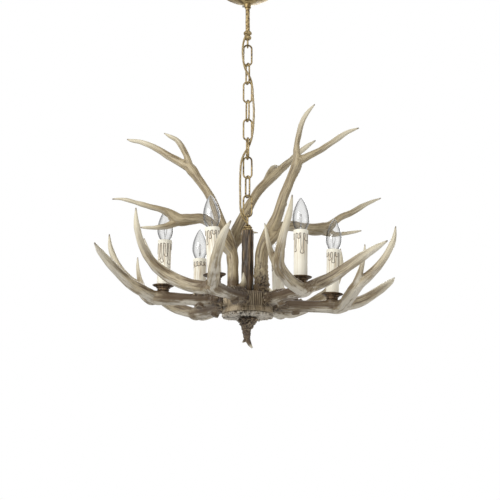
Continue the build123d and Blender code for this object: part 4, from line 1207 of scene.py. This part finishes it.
beads = curve_through([(6.4, -0.2), (8.5, -2.1), (9.4, -5.0), (8.1, -8.0), (5.9, -10.0), (5.9, -11.0), (8.0, -13.2),
                       (8.3, -15.6), (6.6, -19.0), (3.6, -20.9)], 0.7)
knuckle = turned(at_height(ROD_FOOT, [(0, -0.05), *beads, (0, -21.0)]), 64)
EYE_CENTRE = -123.1
EYE_RADIUS = 7.5
EYE_WIRE = 2.1
turn = np.linspace(0, tau, 48, endpoint=False)
out = np.stack([0 * turn, np.cos(turn), np.sin(turn)], -1)
eye_centres = EYE_RADIUS * out + (0, 0, EYE_CENTRE)
section = np.arange(16) * tau / 16
eye_rings = eye_centres[:, None] + EYE_WIRE * (np.cos(section)[None, :, None] * out[:, None]
                                               + np.sin(section)[None, :, None] * np.array((1.0, 0, 0)))
make("knuckle", gather(knuckle, skin(eye_rings, loop=True)), brass, "ceiling_fixing", ["rod_loop"])
print("rod", -ROD_FOOT, "mm long")

# %% [markdown]
# ## The chain
# Nine oval links of thick wire, each turned about a quarter against the one before: the second, fourth, sixth and
# eighth hang a little askew, so both of their sides show. One rule makes them all: a circle is pulled apart into an
# oval, wire is laid along it, and noise beats small flats into the wire. Copies of one link would do for a new chain,
# but on a hammered one every link differs. The dents only go inwards, so the links stay free of each other.

# %% Rule: one hammered link
link = Rule("hammered link", {"Length": "Float", "Width": "Float", "Wire": "Float", "Quarter": "Float",
                              "Height": "Float", "Dents": "Float", "Seed": "Float"})
wire = link.take("Wire") * 0.5
bend = link.take("Width") * 0.5 - wire
straight = link.take("Length") * 0.5 - link.take("Width") * 0.5
round_path = link.add("GeometryNodeCurvePrimitiveCircle", {}, {"Resolution": 40, "Radius": 1.0})
here = link.add("GeometryNodeInputPosition")
across, upward = (link.add("ShaderNodeSeparateXYZ", {}, {0: here}, out=axis) for axis in ("X", "Y"))
sign = upward.maths("SIGN", upward, 0.0)
stadium = link.vector(across * bend, 0.0, upward * bend + sign * straight)
oval_path = link.add("GeometryNodeSetPosition", {}, {"Geometry": round_path, "Position": stadium})
even_path = link.add("GeometryNodeResampleCurve", {}, {"Curve": oval_path, "Count": 110})
round_wire = link.add("GeometryNodeCurvePrimitiveCircle", {}, {"Resolution": 18, "Radius": wire})
body = link.add("GeometryNodeCurveToMesh", {}, {"Curve": even_path, "Profile Curve": round_wire})
normal = link.add("GeometryNodeInputNormal")
shifted = link.add("ShaderNodeVectorMath", {"operation": "ADD"},
                   {0: here, 1: link.vector(link.take("Seed"), 3.0, 0.0)})
dent = link.add("ShaderNodeTexNoise", {}, {"Vector": shifted, "Scale": 0.34, "Detail": 2.0})
push = link.add("ShaderNodeVectorMath", {"operation": "SCALE"}, {0: normal, "Scale": dent * link.take("Dents") * -1.0})
beaten = link.add("GeometryNodeSetPosition", {}, {"Geometry": body, "Offset": push})
smooth = link.add("GeometryNodeSetShadeSmooth", {}, {"Geometry": beaten})
hung = link.add("GeometryNodeTransform", {}, {"Geometry": smooth,
                                              "Translation": link.vector(z=link.take("Height")),
                                              "Rotation": link.vector(z=link.take("Quarter"))})
link.finish(hung)
print("link inputs:", ", ".join(link.codes))

# %% [markdown]
# The rule runs once for each link, with its height, its turn and its own seed, because each link is a body of its own
# that swings on the one above.

# %% Nine links
LINK_COUNT = 9
LINK_LENGTH = 52.1
LINK_WIDTH = 22.4
WIRE = 4.2
FIRST_LINK = -150.05
LINK_PITCH = 43.4
ASKEW = {2: 23, 4: 19, 6: 12, 8: 28}


def link_height(number):
    return FIRST_LINK - (number - 1) * LINK_PITCH


for number in range(1, LINK_COUNT + 1):
    quarter = radians(ASKEW[number] - 90) if number in ASKEW else 0.0
    shape = shape_of(link.run("link", brass, Length=LINK_LENGTH, Width=LINK_WIDTH, Wire=WIRE, Quarter=quarter,
                              Height=link_height(number), Dents=0.3, Seed=7.7 * number))
    make(f"hammered_link_{number}", shape, brass, f"link_{number}", [f"chain_link_{number}"], 80.0)
print("chain hangs to", round(link_height(LINK_COUNT) - LINK_LENGTH / 2), "mm")

# %% [markdown]
# The last link holds a hoop on the stem's cap. The hoop is a bent wire on an oval foot, so it is a tube along a route.
# The cap is turned with two beads, has a string of small beads round it, and the flex goes down through its middle.

# %% Hoop and cap
CAP_TOP = -543.0
CAP_BEADS = 20
HOOP_TOP = -516.7
HOOP_HALF = 9.1
leg_heights = (CAP_TOP + 1.2, -536, -531)
bow = [(0, HOOP_HALF * cos(a), HOOP_TOP - HOOP_HALF + HOOP_HALF * sin(a)) for a in np.linspace(0, pi, 19)]
hoop_line = curve_through([(0, HOOP_HALF, z) for z in leg_heights] + bow
                          + [(0, -HOOP_HALF, z) for z in leg_heights[::-1]], 1.2)
hoop = skin(tube_rings(hoop_line, 2.05, 18, (1.0, 0.1, 0.0)))
hoop_foot = turned(at_height(CAP_TOP, [(3.6, 0.1), (7.0, 0.1), (7.2, 1.2), (6.6, 2.5), (3.6, 2.5)]), 48)
oval = np.array((1.0, 1.62, 1.0))
make("stem_hoop", gather(hoop, (hoop_foot[0] * oval, hoop_foot[1])), brass, "chandelier",
     ["stem_loop"])
cap_line = curve_through([(7.8, -0.1), (9.6, -1.2), (9.8, -2.6), (8.8, -4.2), (8.0, -5.0), (10.6, -6.0), (11.3, -7.4),
                          (10.6, -9.0), (9.4, -9.9)], 0.6)
cap_shape = turned(at_height(CAP_TOP, [*cap_line, (5.1, -9.9), (5.1, -0.1)]), 64)
cap_beads = shape_of(bars.run("cap beads", brass, Count=CAP_BEADS, Radius=10.7, Height=CAP_TOP - 7.4, Width=1.25,
                              Depth=1.1, Length=1.25, Uneven=0.12, Sides=8, Seed=5))
make("beaded_cap", gather(cap_shape, cap_beads), brass, "chandelier", ["stem_cap"])
print("cap 10 mm tall with", CAP_BEADS, "beads")

# %% [markdown]
# ## The flex
# One amber flex runs from the knuckle to the stem, laced in and out of the links. Two cores are twisted in its clear
# cover, and the twist shows through. Modelling the cores would take many faces for a thing as thin as this, so the
# mesh carries a `twist` value and the paint shades and raises the strands from it.

# %% Flex paint
flex_finish = Finish("amber flex")
turns = flex_finish.read("twist")
strand = flex_finish.between(turns, 0.3, 0.7)
cloudy = flex_finish.clouds(120.0, 3.0)
amber = flex_finish.blend(strand * 0.6, paint(140, 116, 66), paint(196, 176, 122))
amber = flex_finish.blend(cloudy * 0.4, amber, paint(118, 94, 50))
flex_paint = flex_finish.close(Base_Color=amber, Roughness=0.28 + 0.2 * cloudy, Coat_Weight=0.35,
                               Normal=flex_finish.raised(strand, 0.5, 0.0004))
print("flex finish:", flex_paint.name)

# %% [markdown]
# The flex is threaded through the second and the sixth link and hangs slack beside the others. A simulation would
# have to be steered to find just that way, so the route is given by a few control points beside and inside the links,
# and a NURBS curve rounds it off as the stiffness of a real flex does.

# %% Flex route and lengths
FLEX_ROUTE = ((-3.4, -4.5, -102.0), (-8.5, -7.0, -116.0), (-11.5, -7.6, -137.0), (-10.7, -7.0, -160.0),
              (-6.6, -3.4, -180.5), (0.5, 0.4, -194.0), (7.1, -3.1, -206.5), (10.9, -7.0, -227.0),
              (11.8, -7.6, -252.0), (14.2, -7.0, -280.0), (13.2, -7.6, -306.0), (11.8, -7.6, -331.0),
              (6.8, -3.6, -354.0), (-0.5, 0.6, -367.0), (-8.0, -2.9, -380.0), (-14.6, -5.2, -399.0),
              (-16.0, -3.8, -424.0), (-16.6, -2.6, -452.0), (-15.8, -3.0, -480.0), (-16.0, -3.4, -504.0),
              (-11.4, -3.0, -523.0), (-2.6, -0.8, -532.0), (0.0, 0.0, -541.5), (0.0, 0.2, -550.0))
FLEX_RADIUS = 2.4
route_curve = bpy.data.curves.new("flex route", "CURVE")
route_curve.dimensions = "3D"
nurbs = route_curve.splines.new("NURBS")
nurbs.points.add(len(FLEX_ROUTE) - 1)
for point, spot in zip(nurbs.points, FLEX_ROUTE):
    point.co = (*spot, 1.0)
nurbs.order_u = 3
nurbs.use_endpoint_u = True
nurbs.resolution_u = 10
route_object = bpy.data.objects.new("flex route", route_curve)
scene.collection.objects.link(route_object)
route_mesh = bpy.data.meshes.new_from_object(route_object.evaluated_get(bpy.context.evaluated_depsgraph_get()))
flex_line = shape_of(route_mesh)[0]
bpy.data.objects.remove(route_object)
flex_rings = tube_rings(flex_line, FLEX_RADIUS, 20)
flex_reach = np.concatenate([[0], np.cumsum(np.linalg.norm(np.diff(flex_line, axis=0), axis=1))])
print("flex", round(float(flex_reach[-1])), "mm long in", len(flex_line), "rings")

# %% [markdown]
# The chain bends, and one long flex would need a bone for each link. The flex is cut at the middle of each link into
# lengths, one for each joint between two links. The cuts don't show, because both sides share one ring.

# %% Cut the flex at the links
LINK_NUMBERS = range(1, LINK_COUNT + 1)
PIVOTS = [EYE_CENTRE - EYE_RADIUS] + [link_height(n) - LINK_PITCH / 2 for n in LINK_NUMBERS[:-1]] + [HOOP_TOP]
HALF_BEND = 9
TWIST_PITCH = 16
carriers = ["ceiling_fixing"] + [f"link_{n}" for n in LINK_NUMBERS] + ["chandelier"]
cuts = [flex_line[0, 2] + 1] + [link_height(n) for n in LINK_NUMBERS] + [flex_line[-1, 2] - 1]
marks = [int(np.abs(flex_line[:, 2] - cut).argmin()) for cut in cuts]
_, side, up = carried_frames(flex_line)
lengths = zip(carriers, carriers[1:], marks, marks[1:], PIVOTS)
for number, (upper, lower, first, last, pivot) in enumerate(lengths, 1):
    mesh = solid_mesh(f"flex_{number}", skin(flex_rings[first:last + 1]), 70.0)
    points = places_of(mesh) / MM
    near = np.linalg.norm(points[:, None] - flex_line[None], axis=2).argmin(1)
    offset = points - flex_line[near]
    angle = np.arctan2((offset * up[near]).sum(1), (offset * side[near]).sum(1))
    store(mesh, {"twist": 0.5 + 0.5 * np.sin(2 * angle + flex_reach[near] * tau / TWIST_PITCH)})
    mesh.materials.append(flex_paint)
    piece = bpy.data.objects.new(f"flex_{number}", mesh)
    scene.collection.objects.link(piece)
    (pivot - HALF_BEND) * MM
    (pivot + HALF_BEND) * MM
    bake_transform(piece)
    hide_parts("supply_cord")
print("flex lengths:", len(carriers) - 1)

# %% [markdown]
# ## The candles
# On each lower antler stands an electric candle: a turned cup, a drip pan, a card tube made to look like wax, and a
# clear candle bulb. The cup and pan are dark bronze. Both are turned once and repeated on the six seats, and as the
# six never move against each other, they stay one piece.

# %% Where the candles stand
def candle_place(number):
    return arm_place(number) @ Matrix.Translation((CANDLE_REACH, -ARM_SIDE, 0))


def on_candles(shape):
    """One shape, repeated on all six candles."""
    return gather(*[placed(shape, candle_place(n)) for n in range(len(ARM_NAMES))])


PAN_SEAT = 25.0
PAN_RADIUS = 23.4
cup_line = curve_through([(11.0, 0.1), (12.9, 2.4), (12.4, 4.2), (12.8, 5.6), (15.2, 6.9), (15.3, 8.8)], 0.8)
cup = turned(at_height(CUP_FOOT, [(0, 0.1), *cup_line]) + [(0, PAN_SEAT - 0.1)], 56)
make("turned_cups", on_candles(cup), bronze, "chandelier", ["candle_cups"])
pan_under = curve_through([(12.9, 0.1), (20.2, 1.5), (22.6, 3.0), (PAN_RADIUS, 4.1)], 0.8)
pan_inside = curve_through([(22.0, 4.3), (19.3, 2.9), (15.5, 1.5)], 0.8)
pan = turned(at_height(PAN_SEAT, [(0, 0.1), *pan_under, (22.9, 4.4), *pan_inside, (0, 1.4)]), 72)
make("bronze_pans", on_candles(pan), bronze, "chandelier", ["drip_pans"])
print("pans", 2 * PAN_RADIUS, "mm across")

# %% [markdown]
# The wax look is moulded: a smooth ring at the top with a scalloped edge, and runs of wax below it that end in a
# bead. A bump in the material would leave the tube's outline bare, so the height of the wax is worked out on a fine
# grid round the tube. A brown wash has settled along the edges of the runs, and the same sums also say how near an
# edge each point lies.

# %% Wax on a candle tube
SLEEVE_RADIUS = 14.0
SLEEVE_BORE = 12.5
SLEEVE_FOOT = 26.7
SLEEVE_TOP = 125.7
SCALLOPS = 11
RING_HEIGHT = 10.5
SHORT_RUN = 14
LONGER_BY = 36
WAX_DEPTH = 1.15
AROUND, UPWARD = ((160, 150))


def wax(seed):
    """Height of the wax over the tube, nearness of an edge and the grid of angles and heights."""
    chance = np.random.default_rng(seed)
    angle, height = np.meshgrid(np.arange(AROUND) * tau / AROUND,
                                SLEEVE_FOOT + (SLEEVE_TOP - SLEEVE_FOOT) * np.linspace(0, 1, UPWARD) ** 0.75)
    start = chance.random() * tau
    inside = height - (SLEEVE_TOP - RING_HEIGHT + 2.4 * np.abs(np.sin((angle + start) * SCALLOPS / 2)))
    for number in range(SCALLOPS):
        middle = -start + (2 * number + chance.normal() * 0.12) * pi / SCALLOPS
        width = 1.5 + 0.9 * chance.random()
        foot = SLEEVE_TOP - SHORT_RUN - LONGER_BY * chance.random() ** 2.2
        gap = SLEEVE_RADIUS * ((angle - middle + pi) % tau - pi)
        bulge, neck = np.exp(-((height - foot) / 3.0) ** 2), np.exp(-((height - foot - 8) / 5) ** 2)
        run = width * (1 + 0.5 * bulge - 0.25 * neck)
        inside = np.maximum(inside, run - np.hypot(gap, np.maximum(foot - height, 0)))
    rise = WAX_DEPTH * np.sqrt(np.clip(inside / 1.5, 0, 1))
    edge = np.exp(-((inside + 0.35) / 1.05) ** 2)
    return rise, edge, angle, height


print("wax grid:", AROUND, "by", UPWARD)

# %% [markdown]
# The paint is warm ivory with fine specks. A thin brown wash has run down from the ring and dried in soft streaks,
# darker close under it, and a darker line lies in every edge of the wax. `edge` and `down` are stored on the mesh,
# because a texture alone can't know where the runs are.

# %% Candle paint
candle = Finish("ivory wax")
edge_mask = candle.read("edge")
down = candle.read("down")
round_and_up = candle.read("grain", "Vector")
runs = candle.streaks(round_and_up, (0.42, 0.42, 0.012))
specks = candle.streaks(round_and_up, (1.6, 1.6, 1.1), 2.0)
wash = candle.between(runs, 0.47, 0.6) * (1 - 0.75 * candle.between(down, 30.0, 75.0)) * candle.between(down, 9.0, 12.0)
ivory = candle.blend(specks * 0.4, paint(255, 251, 236), paint(246, 237, 212))
ivory = candle.blend(wash * 0.6, ivory, paint(178, 148, 100))
ivory = candle.blend(candle.between(edge_mask, 0.2, 0.8) * (0.65 + 0.35 * specks), ivory, paint(80, 56, 32))
ivory_wax = candle.close(Base_Color=ivory, Roughness=0.42 + 0.2 * specks,
                         Normal=candle.raised(specks + wash * -0.3, 0.22, 0.0006))
print("candle finish:", ivory_wax.name)

# %% [markdown]
# Each tube gets its own seed, so no two candles drip alike. The outside follows the wax, and a rolled lip and a plain
# bore close the wall, so that the tube is as thick as real card. Each tube is a body of its own, as it can be lifted.

# %% Six candle tubes
FIRST_SEED = 31
LIP = ((14.6, 0.15), (12.8, 0.0), (SLEEVE_BORE, 0.6))
for number, arm in enumerate(ARM_NAMES):
    rise, edge, angle, height = wax(FIRST_SEED + number)
    outer = on_circle(SLEEVE_RADIUS + rise, angle, height)
    lip = [on_circle(radius, angle[0], SLEEVE_TOP - depth) for radius, depth in LIP]
    bore = [on_circle(SLEEVE_BORE, angle[0], z) for z in np.linspace(SLEEVE_TOP - 8, SLEEVE_FOOT, 8)]
    mesh = solid_mesh(f"{arm}_candle_tube", skin(list(outer) + lip + bore, loop=True), 50.0)
    points = places_of(mesh) / MM
    spot = np.arctan2(points[:, 1], points[:, 0])
    column = np.round(spot / tau * AROUND).astype(int) % AROUND
    row = np.abs(height[:, 0][None] - points[:, 2][:, None]).argmin(1)
    outside = np.hypot(points[:, 0], points[:, 1]) > SLEEVE_RADIUS - 0.8
    store(mesh, {"edge": np.where(outside, edge[row, column], 0), "down": SLEEVE_TOP - points[:, 2],
                 "grain": on_circle(SLEEVE_RADIUS, spot, points[:, 2] + 200 * number)})
    mesh.transform(Matrix.Scale(MM, 4) @ candle_place(number) @ Matrix.Scale(1 / MM, 4))
    place_mesh(f"{arm}_candle_tube", mesh, ivory_wax, f"{arm}_sleeve", [f"{arm}_candle_sleeve"])
print("candle tubes", round(SLEEVE_TOP - SLEEVE_FOOT), "mm tall")

# %% [markdown]
# ## Bulbs
# A clear candle bulb is a thin blown shell. Light bends twice at each wall, so the shell needs both an outer and an
# inner face. Inside stand a glass stalk and a fine filament, which are small but are what the eye finds first.

# %% Glass and brass of the bulbs
glass = Finish("clear glass")
breath = glass.clouds(40.0, 2.0)
rim = glass.add("ShaderNodeLayerWeight", {}, {"Blend": 0.5}, out="Facing")
# Painted shade: the glass is tinted grey where it is seen edge-on, in place of the dark outline that bent light gives a
# real bulb.
painted_rim_shade = glass.blend(glass.between(rim, 0.12, 0.72), (0.91, 0.91, 0.905, 1), paint(84, 84, 83))
clear_glass = glass.close(Base_Color=painted_rim_shade, Roughness=0.02 * breath, Transmission_Weight=1.0, IOR=1.45)
wire_finish = Finish("filament wire")
soot = wire_finish.clouds(800.0, 2.0)
filament_wire = wire_finish.close(Base_Color=wire_finish.blend(soot, paint(90, 84, 78), paint(132, 126, 118)),
                                  Metallic=0.9, Roughness=0.4 + 0.2 * soot)
screw_brass = brass_finish("screw cap brass", paint(222, 200, 150), paint(196, 172, 120), paint(140, 114, 70), 0.2,
                           300.0)
BULB_FOOT = 118.0
BULB_HEIGHT = 77.7
BULB_RADIUS = 17.5
GLASS_WALL = 0.8


def bulb_line(shrink):
    """Half the bulb's outline, drawn in by the wall."""
    shape = ((0.0, 0.46), (0.09, 0.56), (0.2, 0.8), (0.33, 0.98), (0.42, 1.0), (0.55, 0.94), (0.7, 0.76),
             (0.84, 0.5), (0.94, 0.24))
    knots = [(max(BULB_RADIUS * width - shrink, 0.8), BULB_FOOT + 0.1 + BULB_HEIGHT * up) for up, width in shape]
    return list(curve_through(knots + [(0.0, BULB_FOOT + BULB_HEIGHT - shrink)], 1.6))


inner_line = bulb_line(GLASS_WALL)
bulb_shape = turned(bulb_line(0)[:-1] + [(0, BULB_FOOT + BULB_HEIGHT - 0.1)] + inner_line[:0:-1]
                    + [(inner_line[0][0], BULB_FOOT + 0.1)], 64)
print("bulb", 2 * BULB_RADIUS, "mm across")

# %% [markdown]
# The screw cap is turned with a rolled thread. The stalk, its bead and the two wires that carry the looped filament
# are one glass piece and one wire piece.

# %% Six bulbs
CAP_LENGTH = 25.0
CAP_FOOT = BULB_FOOT - CAP_LENGTH + 2.0
THREAD_PITCH = 3.0
cap_thread = [(6.55 + 0.25 * cos(z * tau / THREAD_PITCH), CAP_FOOT + 4.5 + z) for z in np.arange(0, 16.5, 0.5)]
screw_cap = turned(at_height(CAP_FOOT, [(0, 0), (2.4, 0.1), (2.9, 0.8), (3.0, 1.4), (5.4, 3.2)]) + cap_thread
                   + at_height(BULB_FOOT, [(6.7, -1.0), (6.6, 0), (0, 0)]), 48)
stalk = turned(at_height(BULB_FOOT, [(0, 0.2), (4.4, 0.2), (4.2, 3), (2.6, 9), (1.7, 15), (1.5, 19), (2.2, 20.5),
                                     (1.9, 22), (0, 22.6)]), 28)


def coiled(points, reach, turns):
    """A line that winds round another one, flat at both ends."""
    points = np.asarray(points)
    share = np.linspace(0, 1, len(points))
    swing = np.sin(pi * share) ** 0.25 * reach
    return points + np.stack([0 * share, swing * np.cos(turns * tau * share), swing * np.sin(turns * tau * share)], -1)


lead_foot, lead_top = BULB_FOOT + 16, BULB_FOOT + 34
filament_line = curve_through([(-2.6, 0, lead_top), (-2.2, 0, lead_top + 5), (0, 0, lead_top + 8),
                               (2.2, 0, lead_top + 5), (2.6, 0, lead_top)], 0.25)
wires = [skin(tube_rings(coiled(filament_line, 0.55, 12), 0.28, 6, (0.0, 1.0, 0.1)))]
for side in (-1, 1):
    lead = curve_through([(side * 0.8, 0, lead_foot), (side * 1.4, 0, lead_foot + 6), (side * 2.6, 0, lead_top - 5),
                          (side * 2.6, 0, lead_top + 0.6)], 1.5)
    wires.append(skin(tube_rings(lead, 0.42, 8, (0.0, 1.0, 0.1))))
BULB_PIECES = (("shell", bulb_shape, clear_glass, "clear_glass", "bulb_glass"),
               ("screw_cap", screw_cap, screw_brass, "bulb_brass", "bulb_cap"),
               ("glass_stalk", stalk, clear_glass, "clear_glass", "bulb_cap"),
               ("filament", gather(*wires), filament_wire, "bulb_brass", "bulb_cap"))
for number, arm in enumerate(ARM_NAMES):
    for word, shape, finish, slot, node in BULB_PIECES:
        make(f"{arm}_{word}", placed(shape, candle_place(number)), finish, f"{arm}_bulb", [f"{arm}_{node}"], 60.0)
print("six bulbs with", len(wires), "wires each")

# %% [markdown]
# Inside each tube stands the white holder that the bulb screws into. Only its rim shows, between the glass and the
# tube, but the tube can be lifted off. So the holder is turned whole, with ribs as a ripple of its radius.

# %% Holders
porcelain = Finish("moulded white")
mould = porcelain.clouds(180.0, 3.0)
white_mould = porcelain.close(Base_Color=porcelain.blend(mould, paint(232, 228, 218), paint(214, 208, 196)),
                              Roughness=0.35 + 0.2 * mould, Normal=porcelain.raised(mould, 0.15, 0.0004))
HOLDER_TOP = 117.7
SOCKET_RADIUS = 7.1
HOLDER_RIBS = 24
RIB_DEPTH = 0.18


def ribbed(radii, height, angles):
    wide = (radii > 11) & (height < HOLDER_TOP - 4)
    return radii + np.where(wide, RIB_DEPTH * np.cos(HOLDER_RIBS * angles) - RIB_DEPTH, 0)


holder_rim = [(11.5, -1.2), (11.0, -0.2), (SOCKET_RADIUS + 0.9, -0.1)]
holder_bore = [(SOCKET_RADIUS, -1.0), (SOCKET_RADIUS, -25.9), (0, -25.9)]
holder = turned([(0, PAN_SEAT + 1.6), (6.9, PAN_SEAT + 1.6), (6.9, 75.7), (11.5, 77.7), (11.5, 90.0), (11.5, 104.0)]
                + at_height(HOLDER_TOP, holder_rim + holder_bore), 72, ribbed)
make("bulb_holders", on_candles(holder), white_mould, "chandelier", ["lampholders"])
print("holders", round(HOLDER_TOP - PAN_SEAT), "mm tall")

# %% [markdown]
# ## Small metal parts
# The screw in the collar has a knurled head to be turned by hand. It is turned on the z axis, with the knurl as a
# ripple of its radius, and then laid on its side.

# %% Collar screw
steel = brass_finish("plated steel", paint(190, 188, 184), paint(160, 157, 152), paint(96, 92, 86), 0.2, 300.0, 0.8)
SCREW_HEIGHT = -32.5
SCREW_PITCH = 0.5
KNURLS = 22


def knurled(radii, along, angles):
    return radii + np.where(radii > 2.5, 0.1 * np.cos(KNURLS * angles + 0.6 * sin(6 * along)) - 0.1, 0)


shank = [(1.42 + 0.08 * cos(x * tau / SCREW_PITCH), x) for x in np.arange(-7.5, -5.8, 0.125)]
screw = turned([(0, -12.55), (1.8, -12.5), (2.3, -12.2), (2.6, -11.7)] + [(2.6, x) for x in np.linspace(-11.4, -8.5, 7)]
               + [(2.6, -8.2), (2.2, -7.75), (1.5, -7.7)] + shank + [(1.0, -5.5), (0, -5.4)], 88, knurled)
lying = Matrix.Translation((0, 0, SCREW_HEIGHT)) @ Matrix.Rotation(radians(90), 4, "Y")
make("knurled_screw", placed(screw, lying), steel, "collar_screw", ["collar_screw"], 60.0)
print("screw head with", KNURLS, "ridges")

# %% [markdown]
# What is already right in the frame stays and only gets its finish: the collar with its threaded hole, and what hides
# under the canopy and inside the hub. Each finish goes into the piece's own material slots.

# %% Finishes for the pieces that stay
FINISHES = {"canopy_collar": smooth_brass, "ceiling_bracket": steel, "rod_nut": steel, "threaded_tube": steel,
            "hub_nuts": steel, "arm_bolts": steel, "upper_antler_bolts": steel, "terminal_block": white_mould}
for node, finish in FINISHES.items():
    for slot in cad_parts[node].material_slots:
        slot.material = finish
print("kept:", ", ".join(FINISHES))
